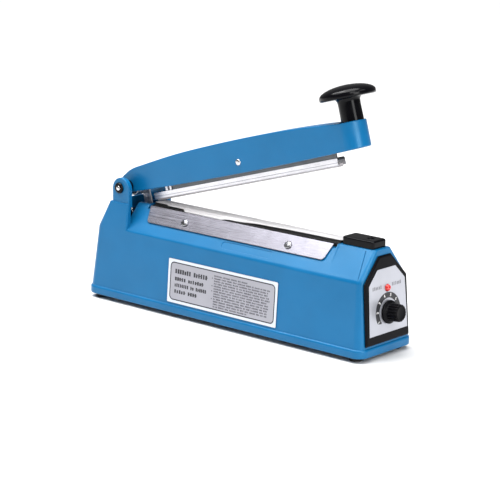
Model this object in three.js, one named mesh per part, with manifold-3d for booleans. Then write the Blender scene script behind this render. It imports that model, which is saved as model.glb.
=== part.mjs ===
// Hand impulse heat sealer: a moulded base holding the timer and transformer, a heated bed
// under a PTFE cloth, and a sprung hand arm that swings a pressure bar down onto it.
//
// Millimetres, +Z up. The long side lies along X with the timer dial at the +X end, and the
// arm's hinge lies along Y at the -X end. The arm is drawn open. In the code X is counted
// from the middle of the base; the whole group is shifted at the end so that the origin lies
// under the middle of the finished object.

import * as THREE from 'three';
import { mergeVertices } from 'three/addons/utils/BufferGeometryUtils.js';
import { LoftGeometry } from 'three/addons/geometries/LoftGeometry.js';
import Module from 'manifold-3d';

const wasm = await Module();
wasm.setup();

// ---------------------------------------------------------------- driving dimensions

const GAP = 0.3;

// base housing
const BASE_LENGTH = 320;
const BASE_WIDTH = 72;
const SKIRT = { bottom: 4, top: 11.6, corner: 10, step: 1.5 };
const CREASE = { z: 67, rear: -151.5, front: 154.3, half: 30.5, corner: 6 };
const RIDGE = { z: 89.9, rear: -118.3, front: 152.7, half: 9.8 };
const SLOPE_RECESS = { x0: -3, x1: 54, low: 4, top: 10.8, corner: 3, depth: 0.7 };
const WALL = 2.8;
const BODY_HALF = BASE_WIDTH / 2 - SKIRT.step;
const BODY_END = BASE_LENGTH / 2 - SKIRT.step;

// rear cheeks and hinge ears
const CHEEK = { top: 91.5, front: -113.8, rearTop: -137, half: 28, innerHalf: 24 };
const WELL = { rearLow: -146, rearTop: -134 };
const EAR = { x: -124.3, z: 103.4, radius: 10.3, outer: 26.7, inner: 21.9 };
const TONGUE_SLOT = { front: -107.5, half: 6.5 };

// hinge and arm
const HINGE = new THREE.Vector3(-125.5, 0, 104.5);
const OPEN_ANGLE = THREE.MathUtils.degToRad(16.1);
const HINGE_PIN_RADIUS = 2.3;
const ARM = { half: 14, wall: 2.4, bottom: -5.6, rearRadius: 11.6, noseX: 254.6, rim: 16.8, rimX: 252.4 };
const CUP = { x: 257.2, radius: 10.7, floor: 8.5, floorUnderside: 5.8 };
const KNOB = { x: 258, stemRadius: 9.6, capRadius: 23.8, capBottom: 36.5, rim: 2.3, capTop: 47 };
const TONGUE = { y: 1.2, sheet: 1.8, front: 9, tip: -22, seat: 11.4, screwX: 22, screwY: 5 };
const BAR_PIVOT = { x: 136.5, z: 1.8, radius: 1.7 };
const BAR = { rear: 19.5, front: 238, half: 5.2, top: -12.3, bottom: -16.9 };
const CHANNEL = { rear: 43.6, front: 236.5, half: 4.6, sheet: 1, top: -3, bottom: -12 };
const CLIP = { rear: 33.5, front: 43, half: 4.4, sheet: 1.1, post: 2.6, inset: 0.9 };
const STRIP = { half: 3.4, top: -15.4, bottom: -18.2 };
const RIVETS = { rear: 70, front: 215, radius: 1.5 };

// bed
const BED = { rear: -101, front: 113, seat: 86.5, step: 90, top: 91.5, baseHalf: 9.3, topHalf: 6.2 };
const CLOTH = { top: 92.3, edge: 90.4, thickness: 0.35, half: 6.95, rear: -100, front: 112.5 };
const RIBBON = { half: 1.3, bottom: 91.63, top: 91.8, rear: -103.6, front: 131 };

// slope plates
const PLATE = { sheet: 1.2, topRear: -101, topFront: 110, lowRear: -95, lowFront: 107.5, corner: 3 };
const PLATE_EDGE = { low: 12.7, top: 29.6 };
const PLATE_SCREWS = { rear: -52.5, front: 66.5, up: 19.4 };

// front block and the terminal cover on it
const FRONT_BLOCK = { rear: 113.2, half: 10.6, z: 90.3 };
const COVER = { rear: 116.3, front: 149, half: 9, z: 97.2, corner: 2, screwX: 139.5 };
const TERMINAL_X = 127;

// end panel and dial, measured up the leaning end wall from the top of the skirt
const PANEL = { low: 1.7, shoulder: 53.6, top: 74.2, halfLow: 29, halfShoulder: 28.4, halfTop: 8.4 };
const LABEL = { low: 9.5, shoulder: 51.6, top: 63.6, halfLow: 25.3, halfShoulder: 23.9, halfTop: 11.8 };
const PANEL_FACE = 2.2;
const DIAL = { up: 26.7, skirtRadius: 9.8, bodyRadius: 7.5, base: 3.4, reach: 16.4, flutes: 18 };
const LAMP = { up: 46.9, radius: 3 };

// label on the -Y side wall and the cord's way in at the rear
const LABEL_BOX = { x0: -59, x1: 67.5, low: 1.8, top: 41, corner: 1.2 };
const LABEL_SHEET = 0.3;
const CORD_UP = 16;

// feet
const FOOT = { rear: -149.4, front: 147, y: 25.5, radius: 6, top: 4.5 };
const PLATE_Z = { bottom: 4.8, top: 6.2 };
const TRANSFORMER = { x: -50, foot: PLATE_Z.top + GAP + 1.5 };

// switch in the well
const LEVER_PIVOT = new THREE.Vector3(-137, 0, 78.5);
const LEVER_ANGLE = THREE.MathUtils.degToRad(14.3);

// ---------------------------------------------------------------- materials

function material(color, roughness, metalness = 0) {
  return new THREE.MeshStandardMaterial({ color, roughness, metalness });
}

const bluePlastic = material(0x2b82bf, 0.35);
const blackPlastic = material(0x141418, 0.3);
const blackRubber = material(0x18181a, 0.85);
const bakelite = material(0x101012, 0.5);
const steel = material(0xb8bcc0, 0.3, 1);
const darkSteel = material(0x62666a, 0.5, 1);
const aluminium = material(0xc9cbd0, 0.35, 1);
const brass = material(0xc8a24a, 0.35, 1);
const nichrome = material(0x8f8a84, 0.4, 1);
const ptfe = material(0xd9d4cc, 0.6);
const silicone = material(0xb9b4b6, 0.7);
const foil = material(0xc4c6cb, 0.4, 0.6);
const redLens = material(0xc81e1e, 0.2);
const boardGreen = material(0x1f6b3a, 0.6);
const coilYellow = material(0xd8b24a, 0.6);
const relayBlue = material(0x2a4fa0, 0.5);

// ---------------------------------------------------------------- solids

function signedVolume(position, index) {
  const a = new THREE.Vector3();
  const b = new THREE.Vector3();
  const c = new THREE.Vector3();
  let volume = 0;
  for (let i = 0; i < index.count; i += 3) {
    a.fromBufferAttribute(position, index.getX(i));
    b.fromBufferAttribute(position, index.getX(i + 1));
    c.fromBufferAttribute(position, index.getX(i + 2));
    volume += a.dot(b.cross(c)) / 6;
  }
  return volume;
}

// A closed three.js geometry as a solid, turned right side out.
function solid(geometry) {
  const bare = new THREE.BufferGeometry();
  bare.setAttribute('position', geometry.getAttribute('position'));
  if (geometry.index) bare.setIndex(geometry.index);
  const merged = mergeVertices(bare, 1e-4);
  const position = merged.getAttribute('position');
  const index = merged.getIndex();
  const inward = signedVolume(position, index) < 0;
  const triangles = [];
  for (let i = 0; i < index.count; i += 3) {
    const corner = [index.getX(i), index.getX(i + 1), index.getX(i + 2)];
    if (inward) corner.reverse();
    const flat = corner[0] === corner[1] || corner[1] === corner[2] || corner[0] === corner[2];
    if (!flat) triangles.push(...corner);
  }
  return new wasm.Manifold(new wasm.Mesh({
    numProp: 3,
    vertProperties: new Float32Array(position.array),
    triVerts: new Uint32Array(triangles),
  }));
}

function union(...solids) {
  return solids.reduce((whole, piece) => whole.add(piece));
}

function cut(body, ...tools) {
  return tools.reduce((left, tool) => left.subtract(tool), body);
}

// A named mesh in the given group.
function piece(group, name, shape, look) {
  const mesh = shape.getMesh();
  const geometry = new THREE.BufferGeometry();
  geometry.setAttribute('position', new THREE.BufferAttribute(mesh.vertProperties, 3));
  geometry.setIndex(new THREE.BufferAttribute(mesh.triVerts, 1));
  geometry.computeVertexNormals();
  const result = new THREE.Mesh(geometry, look);
  result.name = name;
  group.add(result);
  return result;
}

function box(x0, x1, y0, y1, z0, z1) {
  const geometry = new THREE.BoxGeometry(x1 - x0, y1 - y0, z1 - z0);
  geometry.translate((x0 + x1) / 2, (y0 + y1) / 2, (z0 + z1) / 2);
  return solid(geometry);
}

const AXES = {
  x: new THREE.Matrix4().makeBasis(
    new THREE.Vector3(0, 1, 0), new THREE.Vector3(0, 0, 1), new THREE.Vector3(1, 0, 0)),
  y: new THREE.Matrix4().makeBasis(
    new THREE.Vector3(1, 0, 0), new THREE.Vector3(0, 0, 1), new THREE.Vector3(0, -1, 0)),
  z: new THREE.Matrix4(),
};

// A flat outline pushed along one axis between two stations. The outline is drawn in (Y, Z)
// for the X axis, in (X, Z) for the Y axis and in (X, Y) for the Z axis.
function extrude(shape, axis, from, to, curveSegments = 8) {
  const depth = to - from;
  const geometry = new THREE.ExtrudeGeometry(shape, { depth, bevelEnabled: false, curveSegments });
  geometry.translate(0, 0, axis === 'y' ? -to : from);
  geometry.applyMatrix4(AXES[axis]);
  return solid(geometry);
}

function polygon(points) {
  return new THREE.Shape(points.map(([a, b]) => new THREE.Vector2(a, b)));
}

// A rectangle with round corners, as the outline of a shape.
function roundedOutline(shape, { x0, x1, low, top, corner }) {
  shape.moveTo(x0 + corner, low);
  shape.lineTo(x1 - corner, low);
  shape.absarc(x1 - corner, low + corner, corner, -Math.PI / 2, 0, false);
  shape.lineTo(x1, top - corner);
  shape.absarc(x1 - corner, top - corner, corner, 0, Math.PI / 2, false);
  shape.lineTo(x0 + corner, top);
  shape.absarc(x0 + corner, top - corner, corner, Math.PI / 2, Math.PI, false);
  shape.lineTo(x0, low + corner);
  shape.absarc(x0 + corner, low + corner, corner, Math.PI, Math.PI * 1.5, false);
}

const DIRECTIONS = {
  x: new THREE.Vector3(1, 0, 0),
  y: new THREE.Vector3(0, 1, 0),
  z: new THREE.Vector3(0, 0, 1),
};

// A round bar along one axis, centred on the point given by its two other coordinates.
function rod(axis, radius, from, to, centre, segments = 16) {
  const geometry = new THREE.CylinderGeometry(radius, radius, to - from, segments);
  const turn = new THREE.Quaternion().setFromUnitVectors(DIRECTIONS.y, DIRECTIONS[axis]);
  geometry.applyQuaternion(turn);
  const middle = (from + to) / 2;
  const place = { x: [middle, centre[0], centre[1]], y: [centre[0], middle, centre[1]],
    z: [centre[0], centre[1], middle] }[axis];
  geometry.translate(...place);
  return solid(geometry);
}

// A turned body along one axis. The profile lists [radius, station] and starts and ends on
// the axis, or closes on itself when it has a bore.
function turned(axis, profile, centre, segments = 16) {
  const points = profile.map(([radius, station]) => new THREE.Vector2(radius, station));
  const geometry = new THREE.LatheGeometry(points, segments);
  const turn = new THREE.Quaternion().setFromUnitVectors(DIRECTIONS.y, DIRECTIONS[axis]);
  geometry.applyQuaternion(turn);
  const place = { x: [0, centre[0], centre[1]], y: [centre[0], 0, centre[1]],
    z: [centre[0], centre[1], 0] }[axis];
  geometry.translate(...place);
  return solid(geometry);
}

// A rounded rectangle at one height, counter-clockwise from above.
function roundedSection(x0, x1, half, radius, z, steps = 4) {
  const corners = [
    [x1 - radius, half - radius, 0],
    [x0 + radius, half - radius, 1],
    [x0 + radius, -half + radius, 2],
    [x1 - radius, -half + radius, 3],
  ];
  const points = [];
  for (const [x, y, quarter] of corners) {
    for (let i = 0; i <= steps; i++) {
      const angle = (quarter + i / steps) * Math.PI / 2;
      points.push(new THREE.Vector3(x + radius * Math.cos(angle), y + radius * Math.sin(angle), z));
    }
  }
  return points;
}

function loft(sections) {
  return solid(new LoftGeometry(sections, { capStart: true, capEnd: true }));
}

// A pan-head screw pointing down its own -Z, with the underside of the head at z = 0.
function screwShape(headRadius, headHeight, shankRadius, length, segments = 12) {
  const body = turned('z', [
    [0, -length], [shankRadius, -length], [shankRadius, 0], [headRadius, 0],
    [headRadius, headHeight * 0.55], [headRadius * 0.75, headHeight], [0, headHeight],
  ], [0, 0], segments);
  const slot = box(-headRadius * 0.55, headRadius * 0.55, -0.4, 0.4, headHeight * 0.5, headHeight + 1);
  return cut(body, slot);
}

// ---------------------------------------------------------------- wall frames

const sealer = new THREE.Group();
sealer.name = 'impulse_heat_sealer';

// The +X end wall leans back. Local X points out of the wall and local Z runs up it.
const END_LEAN = Math.atan2(BODY_END - CREASE.front, CREASE.z - SKIRT.top);
const endWall = new THREE.Group();
endWall.position.set(BODY_END, 0, SKIRT.top);
endWall.rotation.y = -END_LEAN;
sealer.add(endWall);

// The -X end wall leans in too. Local X points into the wall and local Z runs up it.
const REAR_LEAN = Math.atan2(BODY_END + CREASE.rear, CREASE.z - SKIRT.top);
const rearWall = new THREE.Group();
rearWall.position.set(-BODY_END, 0, SKIRT.top);
rearWall.rotation.set(0, REAR_LEAN, 0);
sealer.add(rearWall);

// The -Y side wall: local X runs along it, local Y up it and local Z out of it.
const SIDE_LEAN = Math.atan2(BODY_HALF - CREASE.half, CREASE.z - SKIRT.top);
const sideWall = new THREE.Group();
sideWall.position.set(0, -BODY_HALF, SKIRT.top);
sideWall.rotation.x = Math.PI / 2 - SIDE_LEAN;
sealer.add(sideWall);

// The two slopes: local X runs along the slope and local Y up it from the crease. Local Z
// points out of the -Y slope and into the +Y slope.
const SLOPE = Math.atan2(RIDGE.z - CREASE.z, CREASE.half - RIDGE.half);
const slopes = { left: new THREE.Group(), right: new THREE.Group() };
slopes.left.position.set(0, -CREASE.half, CREASE.z);
slopes.left.rotation.x = SLOPE;
slopes.right.position.set(0, CREASE.half, CREASE.z);
slopes.right.rotation.x = Math.PI - SLOPE;
sealer.add(slopes.left, slopes.right);

const OUTWARD = { left: 1, right: -1 };

// Moves a solid drawn in a wall's frame into the frame of the base.
function fromWall(shape, group) {
  group.updateMatrix();
  return shape.transform(group.matrix.toArray());
}

// ---------------------------------------------------------------- base housing

function housingOuter() {
  const end = BASE_LENGTH / 2;
  const half = BASE_WIDTH / 2;
  const skirt = loft([
    roundedSection(-end, end, half, SKIRT.corner, SKIRT.bottom),
    roundedSection(-end, end, half, SKIRT.corner, SKIRT.top - 1.2),
    roundedSection(-end + 1, end - 1, half - 1, SKIRT.corner - 1, SKIRT.top),
  ]);
  const body = loft([
    roundedSection(-BODY_END, BODY_END, BODY_HALF, SKIRT.corner - 2, SKIRT.top - 1),
    roundedSection(CREASE.rear, CREASE.front, CREASE.half, CREASE.corner, CREASE.z),
  ]);
  const lap = 10;
  const ridge = loft([
    roundedSection(RIDGE.rear, FRONT_BLOCK.rear + lap, CREASE.half, 1, CREASE.z),
    roundedSection(RIDGE.rear, FRONT_BLOCK.rear + lap, RIDGE.half, 1, RIDGE.z),
  ]);
  const frontBlock = loft([
    roundedSection(FRONT_BLOCK.rear, CREASE.front, CREASE.half, CREASE.corner, CREASE.z),
    roundedSection(FRONT_BLOCK.rear, RIDGE.front, FRONT_BLOCK.half, 3, FRONT_BLOCK.z),
  ]);
  const rearBlock = loft([
    roundedSection(CREASE.rear, CHEEK.front + lap, CREASE.half, CREASE.corner, CREASE.z),
    roundedSection(CHEEK.rearTop, CHEEK.front + lap, CHEEK.half, 2, CHEEK.top),
  ]);
  const well = loft([
    roundedSection(WELL.rearLow, CHEEK.front + lap, CHEEK.innerHalf + 0.8, 1, CREASE.z),
    roundedSection(WELL.rearTop, CHEEK.front + lap, CHEEK.innerHalf, 1, CHEEK.top + 1),
  ]);
  const beyond = box(CHEEK.front, CHEEK.front + 2 * lap, -BASE_WIDTH, BASE_WIDTH, CREASE.z, CHEEK.top + 1);
  return union(skirt, body, ridge, frontBlock, cut(rearBlock, well, beyond), ...ears());
}

function ears() {
  const outline = new THREE.Shape();
  outline.moveTo(EAR.x + EAR.radius, CHEEK.top - 4);
  outline.lineTo(EAR.x + EAR.radius, EAR.z);
  outline.absarc(EAR.x, EAR.z, EAR.radius, 0, Math.PI, false);
  outline.lineTo(EAR.x - EAR.radius, CHEEK.top - 4);
  return [
    extrude(outline, 'y', EAR.inner, EAR.outer, 12),
    extrude(outline, 'y', -EAR.outer, -EAR.inner, 12),
  ];
}

function housingCavity() {
  const lower = loft([
    roundedSection(-BODY_END + WALL, BODY_END - WALL, BODY_HALF - WALL, 6, SKIRT.bottom - 2),
    roundedSection(-BODY_END + WALL, BODY_END - WALL, BODY_HALF - WALL, 6, SKIRT.top),
    roundedSection(CREASE.rear + WALL, CREASE.front - WALL, CREASE.half - WALL, 4, CREASE.z - WALL),
  ]);
  const upper = loft([
    roundedSection(TONGUE_SLOT.front + WALL, CREASE.front - WALL, CREASE.half - WALL - 1.5, 2,
      CREASE.z - WALL - 1),
    roundedSection(TONGUE_SLOT.front + WALL, RIDGE.front - WALL, RIDGE.half + 1.4, 2,
      BED.seat - WALL),
  ]);
  return union(lower, upper);
}

function footBosses() {
  const bosses = [];
  for (const [x, y] of footPlaces()) {
    const boss = rod('z', 4.6, PLATE_Z.top + GAP, 24, [x, y], 16);
    const ribEnd = Math.sign(y) * (BODY_HALF - 2);
    const rib = box(x - 1.4, x + 1.4, Math.min(y, ribEnd), Math.max(y, ribEnd), PLATE_Z.top + GAP, 22);
    bosses.push(union(boss, rib));
  }
  return bosses;
}

function footPlaces() {
  return [FOOT.front, FOOT.rear].flatMap((x) => [[x, -FOOT.y], [x, FOOT.y]]);
}

// A shallow sunk panel in each slope, under the edge of the cover plate.
function slopeRecess(side) {
  const outline = new THREE.Shape();
  roundedOutline(outline, SLOPE_RECESS);
  const { depth } = SLOPE_RECESS;
  return OUTWARD[side] > 0 ? extrude(outline, 'z', -depth, 1, 4) : extrude(outline, 'z', -1, depth, 4);
}

function housing() {
  const shell = union(cut(housingOuter(), housingCavity()), ...footBosses());
  const bedSeat = union(
    box(BED.rear - 3, FRONT_BLOCK.rear - GAP, -20, 20, BED.seat, RIDGE.z + 5),
    box(0, BED.front + 1.5, -BED.baseHalf - 0.4, BED.baseHalf + 0.4, BED.seat, RIDGE.z + 5),
  );
  const tongueSlot = box(RIDGE.rear - 2, TONGUE_SLOT.front, -TONGUE_SLOT.half, TONGUE_SLOT.half,
    CREASE.z, RIDGE.z + 5);
  const ribbonHole = box(RIBBON.rear - 1, BED.rear - GAP, -2.4, 2.4, BED.seat - 8, BED.seat + 2);
  const terminalHole = rod('z', 2.1, BED.seat - 12, FRONT_BLOCK.z + 2, [TERMINAL_X, 0]);
  const coverHole = rod('z', 1.6, BED.seat - 12, FRONT_BLOCK.z + 2, [COVER.screwX, 0]);
  const hingeHole = rod('y', HINGE_PIN_RADIUS + GAP, -BASE_WIDTH, BASE_WIDTH, [HINGE.x, HINGE.z]);
  const potHole = fromWall(rod('x', 4.2, -8, 4, [0, DIAL.up]), endWall);
  const lampHole = fromWall(rod('x', LAMP.radius + GAP, -8, 4, [0, LAMP.up]), endWall);
  const cordHole = fromWall(rod('x', 5, -4, 8, [0, CORD_UP]), rearWall);
  const smallCuts = footPlaces().map(([x, y]) => rod('z', 2.2, SKIRT.bottom, 21, [x, y], 12));
  for (const side of ['left', 'right']) {
    for (const x of [PLATE_SCREWS.rear, PLATE_SCREWS.front]) {
      smallCuts.push(fromWall(rod('z', 2.1, -6, 6, [x, PLATE_SCREWS.up], 12), slopes[side]));
    }
    smallCuts.push(fromWall(slopeRecess(side), slopes[side]));
  }
  return cut(shell, bedSeat, tongueSlot, ribbonHole, terminalHole, coverHole, hingeHole, potHole,
    lampHole, cordHole, ...smallCuts);
}

piece(sealer, 'base_housing', housing(), bluePlastic);

// ---------------------------------------------------------------- underside

function bottomPlate() {
  const half = BODY_HALF - WALL - 0.6;
  const end = BODY_END - WALL - 0.6;
  const sheet = loft([
    roundedSection(-end, end, half, 5, PLATE_Z.bottom),
    roundedSection(-end, end, half, 5, PLATE_Z.top),
  ]);
  return cut(sheet, ...footPlaces().map(([x, y]) => rod('z', 2.2, 0, 10, [x, y], 12)));
}

piece(sealer, 'bottom_plate', bottomPlate(), steel);

const FOOT_NAMES = ['front_left', 'front_right', 'rear_left', 'rear_right'];

footPlaces().forEach(([x, y], i) => {
  const foot = turned('z', [
    [2.3, 2.4], [4.2, 2.4], [4.2, 0], [FOOT.radius - 0.6, 0], [FOOT.radius, 0.8],
    [FOOT.radius - 0.3, FOOT.top], [2.3, FOOT.top], [2.3, 2.4],
  ], [0, 0], 16);
  piece(sealer, `foot_${FOOT_NAMES[i]}`, foot, blackRubber).position.set(x, y, 0);
  const screw = piece(sealer, `foot_screw_${FOOT_NAMES[i]}`, screwShape(3.7, 1.5, 1.9, 17), steel);
  screw.position.set(x, y, 2.1);
  screw.rotation.x = Math.PI;
});

// ---------------------------------------------------------------- hinge

piece(sealer, 'hinge_pin', rod('y', HINGE_PIN_RADIUS, -29.6, 29.6, [HINGE.x, HINGE.z], 16), steel);

for (const [name, sign] of [['left', -1], ['right', 1]]) {
  const cap = turned('y', [
    [HINGE_PIN_RADIUS + GAP, sign * 27], [4.9, sign * 27], [4.9, sign * 27.9],
    [3.6, sign * 29.1], [HINGE_PIN_RADIUS + GAP, sign * 29.1], [HINGE_PIN_RADIUS + GAP, sign * 27],
  ], [HINGE.x, HINGE.z], 20);
  piece(sealer, `hinge_cap_${name}`, cap, blackPlastic);
  const inner = ARM.half + GAP;
  const outer = EAR.inner - GAP;
  const bush = turned('y', [
    [HINGE_PIN_RADIUS + GAP, sign * inner], [5.2, sign * inner], [5.2, sign * outer],
    [HINGE_PIN_RADIUS + GAP, sign * outer], [HINGE_PIN_RADIUS + GAP, sign * inner],
  ], [HINGE.x, HINGE.z], 16);
  piece(sealer, `hinge_bush_${name}`, bush, blackPlastic);
}

// Torsion return spring: a coil round the hinge pin, one leg down to the floor of the well
// and the other up against the inside of the arm.
function springWire() {
  const radius = 8.4;
  const firstY = -10.4;
  const pitch = 2.2;
  const turns = 4;
  const footAngle = THREE.MathUtils.degToRad(200);
  const legAngle = Math.PI / 2 + OPEN_ANGLE + THREE.MathUtils.degToRad(10);
  const sweep = footAngle - legAngle + turns * 2 * Math.PI;
  const at = (angle, y) => new THREE.Vector3(
    HINGE.x + radius * Math.cos(angle), y, HINGE.z + radius * Math.sin(angle));
  const along = (angle) => new THREE.Vector3(Math.sin(angle), 0, -Math.cos(angle));
  const points = [];
  const foot = at(footAngle, firstY);
  for (const length of [34.5, 24, 12, 3]) {
    points.push(foot.clone().addScaledVector(along(footAngle), -length));
  }
  const steps = 52;
  for (let i = 0; i <= steps; i++) {
    const angle = footAngle - sweep * i / steps;
    points.push(at(angle, firstY + pitch * turns * i / steps));
  }
  const last = points[points.length - 1];
  for (const length of [3, 12, 22]) {
    points.push(last.clone().addScaledVector(along(legAngle), length));
  }
  const section = new THREE.Shape();
  const sides = 6;
  for (let i = 0; i < sides; i++) {
    const angle = i / sides * 2 * Math.PI;
    if (i === 0) section.moveTo(Math.cos(angle), Math.sin(angle));
    else section.lineTo(Math.cos(angle), Math.sin(angle));
  }
  return solid(new THREE.ExtrudeGeometry(section, {
    steps: 64, bevelEnabled: false, extrudePath: new THREE.CatmullRomCurve3(points),
  }));
}

piece(sealer, 'return_spring', springWire(), steel);

// ---------------------------------------------------------------- limit switch in the well

function microswitch() {
  const { x, z } = LEVER_PIVOT;
  const body = box(x - 2.5, x + 17.5, -3.2, 3.2, CREASE.z + GAP, z - 2.2);
  const lug = box(x - 1.6, x + 1.6, -1, 1, z - 3, z + 1.4);
  const pivot = rod('y', 0.7, -2.6, 2.6, [x, z], 12);
  return union(body, lug, pivot);
}

piece(sealer, 'microswitch', microswitch(), blackPlastic);

const lever = new THREE.Group();
lever.position.copy(LEVER_PIVOT);
lever.rotation.y = -LEVER_ANGLE;
sealer.add(lever);

function switchLever() {
  const blade = box(2, 25.5, -2.1, 2.1, -0.3, 0.3);
  const tabs = [-1, 1].map((sign) => {
    const tab = box(-1.6, 4, Math.min(sign * 1.35, sign * 2.1), Math.max(sign * 1.35, sign * 2.1),
      -1.5, 1.5);
    return cut(tab, rod('y', 1, -4, 4, [0, 0], 12));
  });
  return union(blade, ...tabs);
}

piece(lever, 'switch_lever', switchLever(), steel);

// ---------------------------------------------------------------- bed

function bedInsulator() {
  const base = box(BED.rear, BED.front, -BED.baseHalf, BED.baseHalf, BED.seat + GAP, BED.step);
  const top = box(BED.rear, BED.front, -BED.topHalf, BED.topHalf, BED.step - 1, BED.top);
  return union(base, top);
}

function clothOver() {
  const edge = CLOTH.half;
  const inner = edge - CLOTH.thickness;
  const section = polygon([
    [-edge, CLOTH.edge], [-inner, CLOTH.edge], [-inner, CLOTH.top - CLOTH.thickness],
    [inner, CLOTH.top - CLOTH.thickness], [inner, CLOTH.edge], [edge, CLOTH.edge],
    [edge, CLOTH.top - 0.4], [edge - 0.5, CLOTH.top], [-edge + 0.5, CLOTH.top], [-edge, CLOTH.top - 0.4],
  ]);
  return extrude(section, 'x', CLOTH.rear, CLOTH.front);
}

function heatingRibbon() {
  const run = box(RIBBON.rear, RIBBON.front - 4, -RIBBON.half, RIBBON.half, RIBBON.bottom, RIBBON.top);
  const leg = box(RIBBON.rear, RIBBON.rear + 0.2, -RIBBON.half, RIBBON.half, BED.seat - 7, RIBBON.top);
  const eye = rod('z', 3.6, RIBBON.bottom, RIBBON.top, [TERMINAL_X, 0], 20);
  return cut(union(run, leg, eye), rod('z', 2.1, RIBBON.bottom - 1, RIBBON.top + 1, [TERMINAL_X, 0], 16));
}

function rearTerminal() {
  return box(RIBBON.rear + 0.5, RIBBON.rear + 7, -4, 4, BED.seat - 15, BED.seat - WALL - 0.6);
}

piece(sealer, 'bed_insulator', bedInsulator(), bakelite);
piece(sealer, 'heating_element', heatingRibbon(), nichrome);
piece(sealer, 'ptfe_cloth', clothOver(), ptfe);
piece(sealer, 'element_terminal_rear', rearTerminal(), brass);

const frontTerminal = screwShape(3.3, 1.5, 1.8, 12);
piece(sealer, 'element_terminal_front', frontTerminal, brass).position.set(TERMINAL_X, 0,
  RIBBON.top + GAP);

// ---------------------------------------------------------------- slope plates

function slopePlate(side) {
  const outline = new THREE.Shape();
  outline.moveTo(PLATE.topFront, PLATE_EDGE.top);
  outline.lineTo(PLATE.topRear, PLATE_EDGE.top);
  outline.lineTo(PLATE.lowRear - 1, PLATE_EDGE.low + PLATE.corner);
  outline.quadraticCurveTo(PLATE.lowRear, PLATE_EDGE.low, PLATE.lowRear + PLATE.corner, PLATE_EDGE.low);
  outline.lineTo(PLATE.lowFront - PLATE.corner, PLATE_EDGE.low);
  outline.quadraticCurveTo(
    PLATE.lowFront, PLATE_EDGE.low, PLATE.lowFront + 0.5, PLATE_EDGE.low + PLATE.corner);
  const low = OUTWARD[side] > 0 ? GAP : -GAP - PLATE.sheet;
  const sheet = extrude(outline, 'z', low, low + PLATE.sheet, 4);
  const holes = [PLATE_SCREWS.rear, PLATE_SCREWS.front].map(
    (x) => rod('z', 2.1, -6, 6, [x, PLATE_SCREWS.up], 12));
  return cut(sheet, ...holes);
}

for (const side of ['left', 'right']) {
  piece(slopes[side], `cover_plate_${side}`, slopePlate(side), aluminium);
  for (const end of ['rear', 'front']) {
    const screw = piece(slopes[side], `cover_screw_${side}_${end}`, screwShape(3.6, 2, 1.8, 9), steel);
    screw.position.set(PLATE_SCREWS[end], PLATE_SCREWS.up, OUTWARD[side] * (GAP * 2 + PLATE.sheet));
    if (OUTWARD[side] < 0) screw.rotation.x = Math.PI;
  }
}

// ---------------------------------------------------------------- terminal cover

function terminalCover() {
  const { rear, front, half, z } = COVER;
  const foot = FRONT_BLOCK.z + GAP;
  const block = loft([
    roundedSection(rear, front, half, COVER.corner, foot),
    roundedSection(rear, front, half, COVER.corner, z - 1.6),
    roundedSection(rear + 0.5, front - 0.5, half - 0.5, COVER.corner, z - 0.5),
    roundedSection(rear + 1.6, front - 1.6, half - 1.6, COVER.corner, z),
  ]);
  const hollow = box(rear + 1.8, COVER.screwX - 4.5, -half + 1.8, half - 1.8, foot - 1, z - 1.6);
  const notch = box(rear - 1, rear + 3, -2, 2, foot - 1, RIBBON.top + 0.7);
  const sink = rod('z', 2.6, z - 2, z + 1, [COVER.screwX, 0]);
  const hole = rod('z', 1.6, foot - 1, z, [COVER.screwX, 0]);
  return cut(block, hollow, notch, sink, hole);
}

piece(sealer, 'terminal_cover', terminalCover(), blackPlastic);
piece(sealer, 'terminal_cover_screw', screwShape(2.3, 1.3, 1.3, 10), steel)
  .position.set(COVER.screwX, 0, COVER.z - 2 + GAP);

// ---------------------------------------------------------------- end panel, lamp and dial

// The outline of the end wall: straight sides, sloping shoulders and a flat top.
function gable(frame, station, inset = 0) {
  const rows = [
    [frame.halfLow - inset, frame.low + inset],
    [frame.halfShoulder - inset, frame.shoulder - inset * 0.4],
    [frame.halfTop - inset * 0.5, frame.top - inset],
  ];
  const right = rows.map(([half, up]) => new THREE.Vector3(station, half, up));
  const left = rows.map(([half, up]) => new THREE.Vector3(station, -half, up)).reverse();
  return [...right, ...left];
}

const panelHoles = () => [
  rod('x', 4.2, -1, 5, [0, DIAL.up]),
  rod('x', LAMP.radius + GAP, -1, 5, [0, LAMP.up]),
];

const panel = cut(loft([
  gable(PANEL, GAP), gable(PANEL, 1.2), gable(PANEL, PANEL_FACE, 1.8),
]), ...panelHoles());
piece(endWall, 'control_panel', panel, blackPlastic);

const label = cut(loft([
  gable(LABEL, PANEL_FACE + GAP), gable(LABEL, PANEL_FACE + GAP + LABEL_SHEET),
]), ...panelHoles());
piece(endWall, 'dial_label', label, foil);

const lamp = turned('x', [
  [0, -13.6], [LAMP.radius, -13.6], [LAMP.radius, 3], [2.6, 4.6], [1.5, 5.5], [0, 5.8],
], [0, LAMP.up], 16);
piece(endWall, 'indicator_lamp', lamp, redLens);

const potentiometer = turned('x', [
  [0, -13.6], [8, -13.6], [8, -3.1], [3.8, -3.1], [3.8, DIAL.base - GAP], [3.3, DIAL.base - GAP],
  [3.3, -11], [0, -11],
], [0, DIAL.up], 20);
piece(endWall, 'timer_potentiometer', potentiometer, darkSteel);

// The dial turns about its own axis, which is local X.
const dial = new THREE.Group();
dial.position.set(0, 0, DIAL.up);
endWall.add(dial);

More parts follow.
